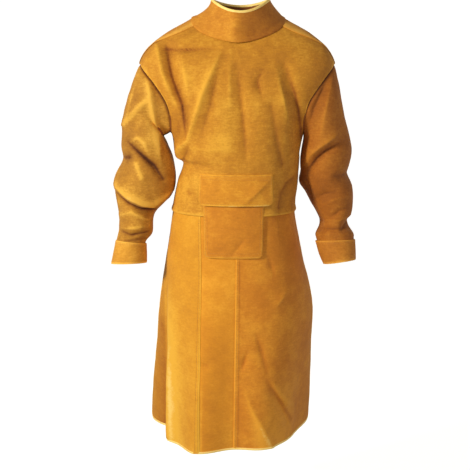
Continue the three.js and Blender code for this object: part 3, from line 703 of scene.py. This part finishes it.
BACK_ACROSS, BACK_UP = 180, 260
BACK_COLUMNS, BACK_ROWS, BACK_STITCHES = 44, 64, 5
BACK_SIDE_WEAR, BACK_END_WEAR = (0.6, 0.6), (0.6, 0.8)
TURNED = [(0, 2.2), (0.6, 0.5), (2.5, 0)]
UNDER_COLLAR = [(-4, 2.6), (-3, 1.8), (2.5, 0)]
OVER_CHEST = [(-4, -1.2), (-3.4, -1.7), (0, -1.6), (5, -1.2), (12, -0.2)]
back_across, back_across_drop = stops(BACK_COLUMNS, BACK_ACROSS, LIP, UNDER_COLLAR)
back_up, back_up_drop = stops(BACK_ROWS, BACK_UP, TURNED, OVER_CHEST)
back_wear = edge_rub_and_shade(back_across, BACK_ACROSS, *BACK_SIDE_WEAR)[None, :]
back_wear = back_wear + edge_rub_and_shade(back_up, BACK_UP, *BACK_END_WEAR)[:, None]
back_suede = suede("back suede", srgb(230, 170, 66), srgb(206, 138, 42), srgb(162, 96, 26), seed=3.1)
back_run = np.linspace(0.03, 0.98, 60)
for side, sign in SIDES:
    points, _ = on_back(
        back_across[None, :], back_up[:, None], sign, -back_across_drop[None, :] - back_up_drop[:, None]
    )
    left_to_right = slice(None, None, sign)
    points, wear_and_shading = points[:, left_to_right], back_wear[:, left_to_right]
    back = leather_piece(f"back_panel_{side}", f"back_{side}", points, back_suede, wear_and_shading)
    back_stitching = stitch_rows(
        f"back_stitching_{side}",
        [
            on_back(back_run, BACK_STITCHES / BACK_UP, sign, PROUD),
            on_back(1 - BACK_STITCHES / BACK_ACROSS, back_run, sign, PROUD),
            on_back(back_run, 1 - BACK_STITCHES / BACK_UP, sign, PROUD),
        ],
    )


# Sleeves. Each is one piece of hide rolled into a tube, set into the armhole and left open below it. It hangs
# half lowered and bent, with deep folds above and below the elbow.
RING = "outX outZ inX inZ y deep"
SLEEVE_ROWS = {
    "left": table(RING, [
        (-268, -139, -200, -283, 8, 66),
        (-284, -190, -185, -310, 12, 72),
        (-298, -247, -172, -342, 15, 75),
        (-307, -308, -164, -388, 18, 75),
        (-306, -352, -166, -420, 18, 74),
        (-322, -392, -178, -447, 14, 72),
        (-325, -425, -199, -471, 8, 67),
        (-319, -461, -219, -491, 0, 57),
        (-312, -497, -225, -510, -8, 51),
        (-313, -530, -225, -540, -16, 48),
        (-318, -554, -242, -563, -23, 45),
        (-320, -564, -242, -573, -26, 45),
    ]),
    "right": table(RING, [
        (261, -157, 169, -306, 8, 68),
        (273, -226, 165, -341, 12, 73),
        (290, -281, 164, -375, 15, 75),
        (298, -326, 160, -408, 18, 75),
        (290, -384, 177, -437, 17, 71),
        (301, -421, 190, -461, 13, 67),
        (301, -474, 206, -487, 4, 58),
        (291, -511, 214, -515, -4, 50),
        (305, -544, 203, -543, -14, 49),
        (305, -552, 206, -555, -17, 45),
        (305, -562, 209, -566, -20, 45),
    ]),
}
SLEEVE_FOLDS = {
    "left": table(FOLD, [
        ("cap ridge", [(-240, -98), (-224, -153), (-211, -239), (-201, -330), (-199, -370)],
         [4, 12, 13, 9, 0], (10, 17)),
        ("outer ridge", [(-258, -138), (-272, -186), (-284, -236)], [0, 5, 0], (9, 9)),
        ("upper arm ridge", [(-218, -182), (-230, -194), (-258, -221), (-296, -258)],
         [0, 9, 11, 7], (8, 17)),
        ("elbow dome", [(-284, -304), (-257, -288), (-238, -302), (-227, -338)], [0, 6, 6, 0], (8, 12)),
        ("elbow crease", [(-282, -300), (-248, -332), (-216, -360), (-194, -396)],
         [-4, -13, -14, -6], (10, 11)),
        ("elbow point", [(-262, -356), (-248, -390)], [7, 7], (12, 12)),
        ("elbow dent", [(-306, -346), (-280, -340)], [-7, -7], (15, 15)),
        ("elbow roll", [(-318, -418), (-281, -444), (-247, -460), (-218, -465), (-180, -438)],
         [5, 13, 15, 13, 4], (20, 5)),
        ("under the roll", [(-318, -430), (-283, -455), (-248, -471), (-216, -476), (-184, -455)],
         [-4, -10, -12, -11, -2], (3, 10)),
        ("forearm arc", [(-312, -492), (-276, -478), (-232, -503)], [2, 6, 2], (8, 12)),
        ("wrist ridge", [(-304, -522), (-270, -521), (-230, -517)], [2, 6, 2], (10, 7)),
        ("wrist crease", [(-302, -530), (-275, -538), (-234, -532)], [-3, -8, -4], (6, 7)),
        ("seam crease", [(-292, -553), (-243, -551)], [-4, -4], (5, 5)),
    ]),
    "right": table(FOLD, [
        ("seam fold", [(236, -118), (216, -160), (192, -214), (178, -262)], [0, -6, -7, 0], (7, 6)),
        ("cap ridge", [(240, -130), (226, -190), (208, -290)], [2, 6, 3], (16, 10)),
        ("outer ridge", [(252, -170), (264, -226), (280, -284)], [0, 5, 0], (9, 12)),
        ("elbow ridge", [(264, -274), (214, -309), (190, -332), (172, -360)], [0, 9, 10, 4], (6, 17)),
        ("elbow crease", [(264, -300), (224, -320), (200, -342), (184, -366), (178, -398)],
         [-4, -13, -14, -12, -4], (12, 6)),
        ("inner fold", [(160, -384), (178, -420), (196, -456)], [-3, -11, -3], (9, 7)),
        ("outer notch", [(304, -383), (266, -387), (236, -389)], [-9, -8, 0], (10, 9)),
        ("forearm wrinkle", [(198, -449), (223, -432), (266, -425)], [-2, -5, 0], (7, 6)),
        ("forearm ridge", [(206, -472), (247, -448), (286, -440)], [0, 4, 2], (9, 9)),
        ("lower wrinkle", [(224, -504), (262, -478), (288, -470)], [0, -6, -2], (7, 8)),
        ("wrist ridge", [(296, -492), (262, -503), (226, -500)], [4, 4, 0], (7, 9)),
        ("outer pinch", [(300, -505), (284, -512), (264, -532)], [-8, -9, 0], (7, 7)),
        ("inner pinch", [(214, -508), (198, -530)], [-7, -5], (8, 8)),
        ("wrist dent", [(310, -521), (212, -526)], [-6, -6], (10, 10)),
    ]),
}
UNDERARM_START, UNDERARM_DROP, SLEEVE_START = 0.84, 8, -2
UNDERARM_OUT = {"left": 33, "right": 6}
SLEEVE_FACING = (-0.35, 0.35)
WRIST_TILT, WRIST_TILT_OVER = 0.13, (380, 520)
SLEEVE_FADE = 16


def sleeve_ring(row, turn):
    """One ring of a sleeve, from its -X side (0) over the front (quarter turn) and back round behind."""
    out, inner = (row["outX"], row["outZ"]), (row["inX"], row["inZ"])
    low, high = (out, inner) if row["outX"] < 0 else (inner, out)
    reach = (1 - np.cos(turn)) / 2
    forward = row["deep"] * np.sin(turn)
    tilt = WRIST_TILT * smoothstep(-row["outZ"], *WRIST_TILT_OVER)
    return np.stack(
        [lerp(low[0], high[0], reach), row["y"] - forward, lerp(low[1], high[1], reach) + tilt * forward], -1
    )


def armhole_ring(side, sign, turn):
    half = np.where(turn <= np.pi, turn / np.pi, 2 - turn / np.pi)
    t = half if sign < 0 else 1 - half
    place = np.where((turn > np.pi)[..., None], armhole(t, 1), armhole(t, -1))
    opened = smoothstep(t, UNDERARM_START, 1)
    points, _ = body_point(sign * place[..., 0], place[..., 1])
    shift = np.stack([sign * UNDERARM_OUT[side] * opened, 0 * opened, -UNDERARM_DROP * opened], -1)
    return points + shift


SLEEVE_AROUND, SLEEVE_ALONG = 128, 172
SLEEVE_LENGTH = 480
turns = np.linspace(0, 2 * np.pi, SLEEVE_AROUND + 1)
along, along_drop = stops(SLEEVE_ALONG, SLEEVE_LENGTH, CUT, TUCKED)
# How strongly the folds are painted light and dark on each sleeve, and painted shadow along the armhole seam
SLEEVE_FOLD_SHADING, SLEEVE_SEAM_SHADE = {"left": 1.5, "right": 0.8}, (0, -3)
# The right sleeve's tones are darker: painted shade of the side away from the key light
sleeve_lit_and_shaded_tones = {
    "left": (srgb(228, 172, 62), srgb(184, 127, 36), srgb(124, 72, 16)),
    "right": (srgb(190, 122, 32), srgb(163, 95, 19), srgb(112, 60, 11)),
}
for side, sign in SIDES:
    rings = [sleeve_ring(row, turns) for row in SLEEVE_ROWS[side]]
    start = armhole_ring(side, sign, turns)
    rings.insert(0, start + unit(rings[0] - start) * SLEEVE_START)
    stations = np.stack(rings[::-1])
    apart = np.linalg.norm(np.diff(stations, axis=0), axis=-1).mean(axis=1)
    run_up = np.concatenate([[0], np.cumsum(apart)])
    tube = through(run_up, stations, along * run_up[-1])
    normals = grid_normals(tube, closed=True)
    facing = smoothstep(-normals[..., 1], *SLEEVE_FACING)
    fade = smoothstep((1 - along) * run_up[-1], 0, SLEEVE_FADE)[:, None]
    height = fold_height(SLEEVE_FOLDS[side], tube[..., 0], tube[..., 2]) * facing * fade
    tube = tube + normals * (height + wavering(tube) - along_drop[:, None])[..., None]
    sleeve_suede = suede(f"sleeve suede {side}", *sleeve_lit_and_shaded_tones[side], seed=5.3 + sign)
    wear_and_shading = SLEEVE_FOLD_SHADING[side] * fold_highlight_and_shade(SLEEVE_FOLDS[side], tube, closed=True) * fade
    wear_and_shading = wear_and_shading + edge_rub_and_shade(along, SLEEVE_LENGTH, *SLEEVE_SEAM_SHADE)[:, None]
    sleeve = leather_piece(f"sleeve_tube_{side}", f"sleeve_{side}", tube, sleeve_suede, wear_and_shading, closed=True)


# Cuffs. A band of hide folded double and sewn round the end of each sleeve, with the fold at the wrist, one
# row of stitches beside the fold and two beside the seam.
CUFF_ROWS = {
    "left": table(RING, [
        (-319, -558, -242, -567, -24, 45),
        (-325, -590, -241, -593, -31, 46),
        (-331, -619, -241, -616, -38, 46),
    ]),
    "right": table(RING, [
        (306, -557, 205, -560, -18, 46),
        (307, -584, 214, -592, -27, 46),
        (307, -608, 226, -620, -34, 45),
    ]),
}
CUFF_LENGTH, CUFF_OVER, CUFF_THICKNESS, CUFF_WAVERING = 62, 2.2, 2.6, 0.5
CUFF_ROWS_UP, CUFF_STITCHES, CUFF_WEAR = 16, (0.1, 0.88, 0.95), (1.4, 0.8)
CUFF_FOLD, CUFF_SEAM = [(0, 0.6), (1.2, 0)], [(0, 0.8), (1.4, 0)]
# The right cuff's tones are darker: painted shade of the side away from the key light
cuff_lit_and_shaded_tones = {
    "left": (srgb(238, 178, 66), srgb(210, 146, 42), srgb(164, 98, 24)),
    "right": (srgb(220, 152, 50), srgb(190, 120, 32), srgb(146, 82, 18)),
}
cuff_along, cuff_drop = stops(CUFF_ROWS_UP, CUFF_LENGTH, CUFF_FOLD, CUFF_SEAM)
for side, sign in SIDES:
    stations = np.stack([sleeve_ring(row, turns) for row in CUFF_ROWS[side]][::-1])
    band = through(np.arange(len(stations)), stations, cuff_along * (len(stations) - 1))
    normals = grid_normals(band, closed=True)
    band = band + normals * (CUFF_OVER + CUFF_WAVERING * wavering(band) - cuff_drop[:, None])[..., None]
    cuff_suede = suede(f"cuff suede {side}", *cuff_lit_and_shaded_tones[side], seed=8.7 + sign)
    wear_and_shading = edge_rub_and_shade(cuff_along, CUFF_LENGTH, *CUFF_WEAR)[:, None]
    cuff = leather_piece(
        f"cuff_band_{side}", f"cuff_{side}", band, cuff_suede, wear_and_shading, CUFF_THICKNESS, closed=True
    )
    rows_at = [np.argmin(np.abs(cuff_along - share)) for share in CUFF_STITCHES]
    cuff_rows = [(band[i] + PROUD * normals[i], normals[i]) for i in rows_at]
    cuff_stitching = stitch_rows(f"cuff_stitching_{side}", cuff_rows)


# Skirt. Three hide panels in one U that is open behind, one layer inside the chest panel, joined by two
# upright lapped seams: both outer panels lie over the middle one and are sewn down with two rows of stitches.
SKIRT_TOP, SKIRT_INSET, HEM = -472, 3.4, -1101
HEM_CORNER_START, HEM_CORNER_RISE = 83, 26
LEFT_SEAM = dict(top=-97, bottom=-88)
CENTRE_SEAM = dict(top=-4, bottom=-13)
SKIRT_UP, SKIRT_ROWS = 629, 170
# Lap edge standoff, stitch rows, pale rub on the lap edges, and how dark the turned-in side is painted as
# shade
LAP_PROUD, LAP_STITCHES, LAP_WEAR, TUCK_SHADE = 1.0, (4, 9), 0.7, 1.6
LAP_UNDER = [(-11, 2.2), (-4, 1.0), (0, 0.8), (1.5, 0.4), (5, 0)]
LAP_OVER = [(0, -0.3), (1.2, -0.8), (4, -0.9), (10, -0.2)]


def hem_height(angle):
    corner = np.clip((np.abs(angle) - HEM_CORNER_START) / (SIDE_EDGE - HEM_CORNER_START), 0, 1)
    return HEM + HEM_CORNER_RISE * (1 - np.sqrt(1 - corner**2))


def angle_of_x(x, z):
    half = np.where(x < 0, column(BODY, "z", "left", z), column(BODY, "z", "right", z))
    return np.degrees(np.arcsin(np.clip(x / half, -1, 1)))


def seam_angle(seam, v):
    return angle_of_x(lerp(seam["bottom"], seam["top"], v), lerp(HEM, SKIRT_TOP, v))


def on_skirt(panel, u, v, out=0.0):
    angle = lerp(panel["from"](v), panel["to"](v), u)
    height = lerp(hem_height(angle), SKIRT_TOP, v)
    return body_point(angle, height, out - SKIRT_INSET)


def tuck_painted_shade(panel, u, v):
    """The turned-in side is painted darker as shade, from the bottom of the crease outwards."""
    angle = lerp(panel["from"](v), panel["to"](v), u)
    z = lerp(HEM, SKIRT_TOP, v)
    return sum(-TUCK_SHADE * tuck_share(tuck, angle, z, "shade") for tuck in SIDE_TUCKS if "shade" in tuck)


PANELS = [
    {"name": "left", "from": lambda v: 0 * v - SIDE_EDGE, "to": lambda v: seam_angle(LEFT_SEAM, v),
     "across": 250, "columns": 68, "start": TURNED, "end": LAP_OVER, "flat": (0.26, 0.63), "area": 0.152},
    {"name": "centre", "from": lambda v: seam_angle(LEFT_SEAM, v), "to": lambda v: seam_angle(CENTRE_SEAM, v),
     "across": 88, "columns": 24, "start": LAP_UNDER, "end": LAP_UNDER, "flat": (0.11, 0.63), "area": 0.062},
    {"name": "right", "from": lambda v: seam_angle(CENTRE_SEAM, v), "to": lambda v: 0 * v + SIDE_EDGE,
     "across": 320, "columns": 86, "start": LAP_OVER, "end": TURNED, "flat": (0.35, 0.63), "area": 0.205},
]
# The right panel's tones are darker: painted shade of the side away from the key light
skirt_lit_and_shaded_tones = {
    "left": (srgb(238, 178, 52), srgb(217, 149, 33), srgb(177, 107, 20)),
    "centre": (srgb(242, 174, 50), srgb(220, 145, 31), srgb(184, 106, 19)),
    "right": (srgb(236, 164, 44), srgb(206, 128, 27), srgb(166, 92, 16)),
}
skirt_up, _ = stops(SKIRT_ROWS, SKIRT_UP, CUT, CUT)
lap_run = np.linspace(0.012, 0.97, 150)
for number, panel in enumerate(PANELS):
    places_across, drop_across = stops(panel["columns"], panel["across"], panel["start"], panel["end"])
    points, _ = on_skirt(panel, places_across[None, :], skirt_up[:, None], -drop_across[None, :])
    skirt_suede = suede(
        f"skirt suede {panel['name']}", *skirt_lit_and_shaded_tones[panel["name"]], seed=11.0 + 1.7 * number, blotched=0.8
    )
    lap_wear = [LAP_WEAR if panel[edge] is LAP_OVER else 0 for edge in ("start", "end")]
    # Painted fold highlight and crease shade, pale rubbed lap edges, painted tuck shade, and lit and rubbed
    # patches
    wear_and_shading = fold_highlight_and_shade(BODY_FOLDS, points) + edge_rub_and_shade(places_across, panel["across"], *lap_wear)[None, :]
    wear_and_shading = wear_and_shading + tuck_painted_shade(panel, places_across[None, :], skirt_up[:, None])
    wear_and_shading = wear_and_shading + lit_and_rubbed_patches(points)
    skirt = leather_piece(f"skirt_panel_{panel['name']}", f"skirt_{panel['name']}", points, skirt_suede, wear_and_shading)
    together = []
    if LAP_OVER in (panel["start"], panel["end"]):
        insets = np.array(LAP_STITCHES) / panel["across"]
        rows_at = insets if panel["start"] is LAP_OVER else 1 - insets
        lap_rows = [on_skirt(panel, at, lap_run, LAP_PROUD) for at in rows_at]
        together = [stitch_rows(f"skirt_stitching_{panel['name']}", lap_rows)]


# Hem binding. A pale leather strip folded over the skirt's free edges, from the waist down one side, along
# the hem and up the other side.
BINDING, BINDING_REACH, BINDING_TOP = 1.2, 4.8, -487
BINDING_PROFILE = [(BINDING_REACH, -1.7), (1.0, -1.9), (-0.8, -1.5), (-1.5, 0), (-0.8, 1.5), (1.0, 1.9),
                   (BINDING_REACH, 1.7)]


def pale_leather(name):
    """Smooth pale strip: faint blotches, a little grime, and fine grain."""
    finish = Finish(name)
    place = finish.node("ShaderNodeTexCoord", output="Object")
    sockets = {"Vector": place, "Scale": 45.0, "Detail": 4.0, "Roughness": 0.6}
    blotch = finish.node("ShaderNodeTexNoise", sockets=sockets)
    sockets = {"Vector": place, "Scale": 600.0, "Detail": 2.0}
    grain = finish.node("ShaderNodeTexNoise", sockets=sockets)
    pale_stops = [(0.25, srgb(236, 188, 86)), (0.5, srgb(254, 222, 122)), (0.8, srgb(255, 238, 156))]
    tone = blotch * 0.8 + grain * 0.2
    colour = finish.node("ShaderNodeValToRGB", {"stops": pale_stops}, {"Fac": tone})
    bump = finish.node("ShaderNodeBump", sockets={"Strength": 0.3, "Distance": 0.4 * MM, "Height": grain})
    return finish.coat({"Base Color": colour, "Roughness": 0.75 - 0.2 * grain, "Normal": bump})


def binding_strip(name, node, edge, normals):
    """Strip folded over an edge; the leather lies where the walk crossed with the way out points."""
    walk = np.gradient(edge, axis=0)
    inwards = unit(np.cross(walk, normals))
    profile = np.array(BINDING_PROFILE)
    points = edge[:, None] + profile[None, :, :1] * inwards[:, None] + profile[None, :, 1:] * normals[:, None]
    return leather_piece(name, node, points, pale, thickness=BINDING)


bound_top = (BINDING_TOP - HEM) / (SKIRT_TOP - HEM)
EDGE_STEPS, HEM_STEPS = 130, 60
down = np.linspace(bound_top, 0, EDGE_STEPS)
legs = [on_skirt(PANELS[2], 1, down, -LEATHER / 2)]
for panel in PANELS[::-1]:
    legs.append(on_skirt(panel, np.linspace(1, 0, HEM_STEPS)[1:], 0, -LEATHER / 2))
legs.append(on_skirt(PANELS[0], 0, down[::-1][1:], -LEATHER / 2))
hem_edge = np.concatenate([points for points, _ in legs])
hem_normals = np.concatenate([normals for _, normals in legs])
pale = pale_leather("pale binding")
hem_binding = binding_strip("hem_strip", "hem_binding", hem_edge, hem_normals)


# Patch pocket. A pocket bag of the same hide laid over the waist seam and sewn down round its sides and its
# rounded lower corners, with a separate thicker flap sewn above it.
LAYER = LEATHER + 0.6
FLAP_LIFT, SEWN_CLOSE = 5, (0.15, 0.8)
POCKET_FOLDS = table(FOLD, [
    ("crease", [(-20, -586), (0, -562), (24, -528)], [-1, -4, 0], (9, 6)),
])
FLAP_FOLDS = table(FOLD, [
    ("lifted corner", [(14, -450), (50, -415), (84, -386)], [2, 6, 1], (16, 7)),
])
POCKET = dict(left=-88, right=65, narrow=3, top=-445, bottom=-588, round=12, bulge=2,
              top_out=LAYER, low_out=LAYER, thickness=LEATHER, folds=POCKET_FOLDS, grid=(48, 44),
              side_wear=0.5, low_wear=0.9, top_wear=0, stitches=(3.5, 9), top_stitches=())
FLAP = dict(left=-97, right=86, narrow=1, top=-376, bottom=-455, round=15, bulge=3,
            top_out=LAYER, low_out=2 * LAYER + FLAP_LIFT, thickness=2.4, folds=FLAP_FOLDS, grid=(56, 28),
            side_wear=0.6, low_wear=1.3, top_wear=0.3, stitches=(4,), top_stitches=(4, 13))


def on_front(shape, u, v, above=0.0):
    """Place on a patch laid on the front, with rounded lower corners and its top sewn close to the chest."""
    rise = (shape["top"] - shape["bottom"]) * v
    corner = np.clip(1 - rise / shape["round"], 0, 1)
    inset = shape["round"] * (1 - np.sqrt(1 - corner**2)) + shape["narrow"] * (1 - v)
    x = lerp(shape["left"] + inset, shape["right"] - inset, u)
    z = shape["bottom"] + rise
    swell = shape["bulge"] * np.sin(np.pi * u) * np.sin(np.pi * v)
    out = lerp(shape["low_out"], shape["top_out"], smoothstep(v, *SEWN_CLOSE))
    return body_point(angle_of_x(x, z), z, out + swell + fold_height(shape["folds"], x, z) + above)


PATCH_EDGE, CORNER_ROWS = [(0, 1.3), (0.8, 0.4), (2.6, 0)], 9


def patch_piece(name, node, shape, finish):
    """A patch with softened edges, in a grid of columns and rows that follows its rounded corners."""
    width, height = shape["right"] - shape["left"], shape["top"] - shape["bottom"]
    columns, rows = shape["grid"]
    u, u_drop = stops(columns, width, PATCH_EDGE, PATCH_EDGE)
    corner = (1 - np.cos(np.linspace(0, np.pi / 2, CORNER_ROWS))) * shape["round"] / height
    v = np.concatenate([corner, np.linspace(corner[-1], 1, rows)[1:]])
    v_drop = np.interp(v * height, *zip(*PATCH_EDGE))
    points, _ = on_front(shape, u[None, :], v[:, None], -u_drop[None, :] - v_drop[:, None])
    wear_and_shading = np.maximum(edge_rub_and_shade(u, width, shape["side_wear"], shape["side_wear"])[None, :],
                      edge_rub_and_shade(v, height, shape["low_wear"], shape["top_wear"])[:, None])
    return leather_piece(name, node, points, finish, wear_and_shading, shape["thickness"])


pocket_suede = suede("pocket suede", srgb(228, 160, 44), srgb(205, 130, 29), srgb(162, 92, 18), seed=17.0)
pocket = patch_piece("pocket_bag", "pocket", POCKET, pocket_suede)
flap_tones = (srgb(232, 168, 48), srgb(208, 137, 31), srgb(166, 97, 19))
flap_suede = suede("flap suede", *flap_tones, seed=21.0, blotched=1.1)
flap = patch_piece("pocket_cover", "pocket_flap", FLAP, flap_suede)


STITCH_START, STITCH_END, BOTTOM_RISE = 0.02, 0.98, 1.4


def patch_rows(shape):
    """Stitch rows inside a patch's edges: down the sides, along the bottom, and straight ones at its top."""
    rows = []
    width, height = shape["right"] - shape["left"], shape["top"] - shape["bottom"]
    for inset in shape["stitches"]:
        down_side = np.linspace(STITCH_END, 2 * inset / height, 60)
        side = inset / width
        bottom = np.linspace(side, 1 - side, 60)
        rows.append(on_front(shape, side, down_side, PROUD))
        rows.append(on_front(shape, 1 - side, down_side, PROUD))
        rows.append(on_front(shape, bottom, BOTTOM_RISE * inset / height, PROUD))
    straight = np.linspace(STITCH_START, STITCH_END, 70)
    for drop in shape["top_stitches"]:
        rows.append(on_front(shape, straight, 1 - drop / height, PROUD))
    return rows


pocket_stitching = stitch_rows("pocket_stitching", patch_rows(POCKET))
flap_stitching = stitch_rows("flap_stitching", patch_rows(FLAP))


# Stand collar. A wide strip of hide sewn over the neck edge, leaning inwards and open at the centre back,
# with the same pale strip folded over its top edge.
COLLAR_TOP = dict(x=6, y=3, wide=75, deep=67, front=27, side=61, back=47)
COLLAR_LEAN = (2.2, 1.35)
COLLAR_END, COLLAR_GAP, COLLAR_UP = 180, 1.7, 76
COLLAR_COLUMNS, COLLAR_ROWS = 150, 22
COLLAR_FACING, COLLAR_WAVERING = (0, 0.6), 0.6
COLLAR_FOLDS = table(FOLD, [
    ("front crease", [(-6, 32), (-8, -20), (-12, -60)], [6, 16, 5], (34, 34)),
])
# The right half of the collar front is painted darker as shade: how dark, and the X over which it comes in
COLLAR_SHADE, COLLAR_SHADE_FROM = 0.5, (-5, 25)
COLLAR_FOOT = [(-3, -1.6), (-2, -2.2), (1.5, -1.9), (7, -0.4)]


def on_collar(angle, t):
    angle, t = spread(angle, t)
    base, _ = body_point(angle, neck_height(angle))
    turn = np.radians(angle)
    share = np.abs(np.sin(turn))
    front_z = lerp(COLLAR_TOP["front"], COLLAR_TOP["side"], share**2)
    back_z = lerp(COLLAR_TOP["back"], COLLAR_TOP["side"], share**2)
    top_z = np.where(np.cos(turn) > 0, front_z, back_z)
    top_x = COLLAR_TOP["x"] + COLLAR_TOP["wide"] * np.sin(turn)
    top_y = COLLAR_TOP["y"] - COLLAR_TOP["deep"] * np.cos(turn)
    lean = 1 - (1 - t) ** lerp(*COLLAR_LEAN, (1 + np.sin(turn)) / 2)
    x, y = lerp(base[..., 0], top_x, lean), lerp(base[..., 1], top_y, lean)
    return np.stack([x, y, lerp(base[..., 2], top_z, t)], -1)


collar_angles = np.linspace(-COLLAR_END, COLLAR_END, COLLAR_COLUMNS + 1)
collar_up, collar_drop = stops(COLLAR_ROWS, COLLAR_UP, COLLAR_FOOT, CUT)
foot = COLLAR_GAP / COLLAR_UP
stand = on_collar(collar_angles[None, :], lerp(foot, 1, collar_up)[:, None])
stand_normals = grid_normals(on_collar(collar_angles[None, :], np.linspace(foot, 1, len(collar_up))[:, None]))
in_front = smoothstep(-stand_normals[..., 1], *COLLAR_FACING)
crease = fold_height(COLLAR_FOLDS, stand[..., 0], stand[..., 2]) * in_front
stand = stand + stand_normals * (crease + COLLAR_WAVERING * wavering(stand) - collar_drop[:, None])[..., None]
collar_suede = suede("collar suede", srgb(226, 160, 48), srgb(198, 128, 31), srgb(150, 84, 18), seed=25.0)
# Painted shade on the right half of the collar front
collar_painted_shade = -COLLAR_SHADE * smoothstep(stand[..., 0], *COLLAR_SHADE_FROM) * in_front
collar = leather_piece("collar_stand", "collar", stand, collar_suede, collar_painted_shade)
rim_normals = stand_normals[-1]
rim = stand[-1] - rim_normals * LEATHER / 2
collar_binding = binding_strip("collar_strip", "collar_binding", rim, rim_normals)


# Neck tab. A plain strip of hide behind the neck that closes the collar's opening, with a row of stitches
# along its lower and upper edges.
TAB_ANGLE, TAB_LOW, TAB_HIGH = 28, 0.2, 0.88
TAB_COLUMNS, TAB_ROWS, TAB_STITCHES = 40, 16, (2, 14)
tab_angles = np.linspace(180 - TAB_ANGLE, 180 + TAB_ANGLE, TAB_COLUMNS + 1)
tab_points = on_collar(tab_angles[None, :], np.linspace(TAB_LOW, TAB_HIGH, TAB_ROWS + 1)[:, None])
tab_normals = grid_normals(tab_points)
tab_points = tab_points + tab_normals * LAYER
tab = leather_piece("neck_strip", "neck_tab", tab_points, back_suede)
tab_rows = [(tab_points[i, 1:-1], tab_normals[i, 1:-1]) for i in TAB_STITCHES]
tab_stitching = stitch_rows("tab_stitching", [(points + PROUD * out, out) for points, out in tab_rows])


# Back strap. A plain strip of hide sewn inside the chest panel's side edges and passed round the open back,
# with a row of stitches along its lower and upper edges.
STRAP_MIDDLE, STRAP_WIDTH, STRAP_INSET, STRAP_MIDDLE_BACK = -312, 36, 8.5, 128
STRAP_ANGLES, STRAP_COLUMNS, STRAP_ROWS, STRAP_STITCHES = (72, 81, 91), 150, 8, (1, 7)
STRAP_BACK = table("left right y", [
    (148, 154, 29),
    (147, 150, 56),
    (132, 132, 96),
    (80, 78, 122),
])


def strap_line(z, count):
    def side_stops(sign):
        angles = sign * np.array(STRAP_ANGLES, float)
        return list(body_point(angles, z, -STRAP_INSET)[0])

    def back_stops(sign):
        return [np.array([-row["left"] if sign < 0 else row["right"], row["y"], z]) for row in STRAP_BACK]

    middle = [np.array([0, STRAP_MIDDLE_BACK, z])]
    route = np.array(side_stops(1) + back_stops(1) + middle + back_stops(-1)[::-1] + side_stops(-1)[::-1])
    run = run_along(route)
    return through(run, route, np.linspace(0, run[-1], count))


strap_heights = STRAP_MIDDLE + STRAP_WIDTH * np.linspace(-0.5, 0.5, STRAP_ROWS + 1)
strap_points = np.stack([strap_line(z, STRAP_COLUMNS + 1) for z in strap_heights])
strap_normals = grid_normals(strap_points)
strap = leather_piece("strap_round_back", "back_strap", strap_points, back_suede)
strap_rows = [(strap_points[i] + PROUD * strap_normals[i], strap_normals[i]) for i in STRAP_STITCHES]
strap_stitching = stitch_rows("strap_stitching", strap_rows)


# Studio. A round pale floor that sweeps up on all sides into a plain backdrop, a soft key light from the
# upper left, a weak fill from the right, and the camera at chest height, tilted a little down.
FLOOR, SWEEP_FLAT, SWEEP_RADIUS, SWEEP_TOP, SWEEP_STEPS = -1.45, 5.0, 1.5, 7.0, 64
sweep_shape = bmesh.new()
arc = [math.radians(turn) for turn in range(0, 91, 10)]
bend = [(SWEEP_RADIUS * math.sin(turn), SWEEP_RADIUS * (1 - math.cos(turn))) for turn in arc]
profile = [(0, FLOOR)]
profile += [(SWEEP_FLAT + reach, FLOOR + height) for reach, height in bend]
profile += [(SWEEP_FLAT + SWEEP_RADIUS, SWEEP_TOP)]
outline = [sweep_shape.verts.new((reach, 0, height)) for reach, height in profile]
spokes = [sweep_shape.edges.new(ends) for ends in zip(outline[:-1], outline[1:])]
bmesh.ops.spin(
    sweep_shape, geom=outline + spokes, cent=(0, 0, 0), axis=(0, 0, 1), angle=2 * math.pi, steps=SWEEP_STEPS,
    use_merge=True,
)
sweep = placed("sweep", smooth_mesh("sweep", sweep_shape))
paper = Finish("backdrop paper").coat({
    "Base Color": (0.6, 0.6, 0.6, 1.0), "Roughness": 0.9,
    "Emission Color": (1.0, 1.0, 1.0, 1.0), "Emission Strength": 0.85,
})
sweep.data.materials.append(paper)
sweep.visible_diffuse = False
sweep.visible_shadow = False


def soft_light(name, place, aim, size, power, colour):
    lamp = bpy.data.lights.new(name, "AREA")
    lamp.shape = "DISK"
    lamp.size = size
    lamp.energy = power
    lamp.color = colour
    light = placed(name, lamp)
    light.location = place
    light.rotation_euler = (Vector(aim) - Vector(place)).to_track_quat("-Z", "Y").to_euler()


soft_light("key", place=(-2.3, -2.0, 0.6), aim=(0, 0, -0.5), size=0.5, power=96, colour=(1.0, 0.97, 0.92))
soft_light("fill", place=(1.4, -2.6, -0.6), aim=(0.1, 0, -0.9), size=2.0, power=22, colour=(1.0, 0.93, 0.85))
studio = bpy.data.worlds.new("studio")
studio.use_nodes = True
studio.node_tree.nodes["Background"].inputs["Color"].default_value = (1.0, 0.86, 0.62, 1.0)
studio.node_tree.nodes["Background"].inputs["Strength"].default_value = 0.22
bpy.context.scene.world = studio
bpy.context.scene.view_settings.view_transform = "Standard"

CAMERA_PLACE, CAMERA_TILT = (-0.008, -2.6, -0.091), 80
FOCAL_LENGTH_PX, FRAME_PX, SENSOR = 997, 470, 36
camera = bpy.data.cameras.new("camera")
camera.sensor_width = SENSOR
camera.lens = SENSOR * FOCAL_LENGTH_PX / FRAME_PX
camera_stand = placed("camera", camera)
camera_stand.location = CAMERA_PLACE
camera_stand.rotation_euler = (math.radians(CAMERA_TILT), 0, 0)
bpy.context.scene.camera = camera_stand
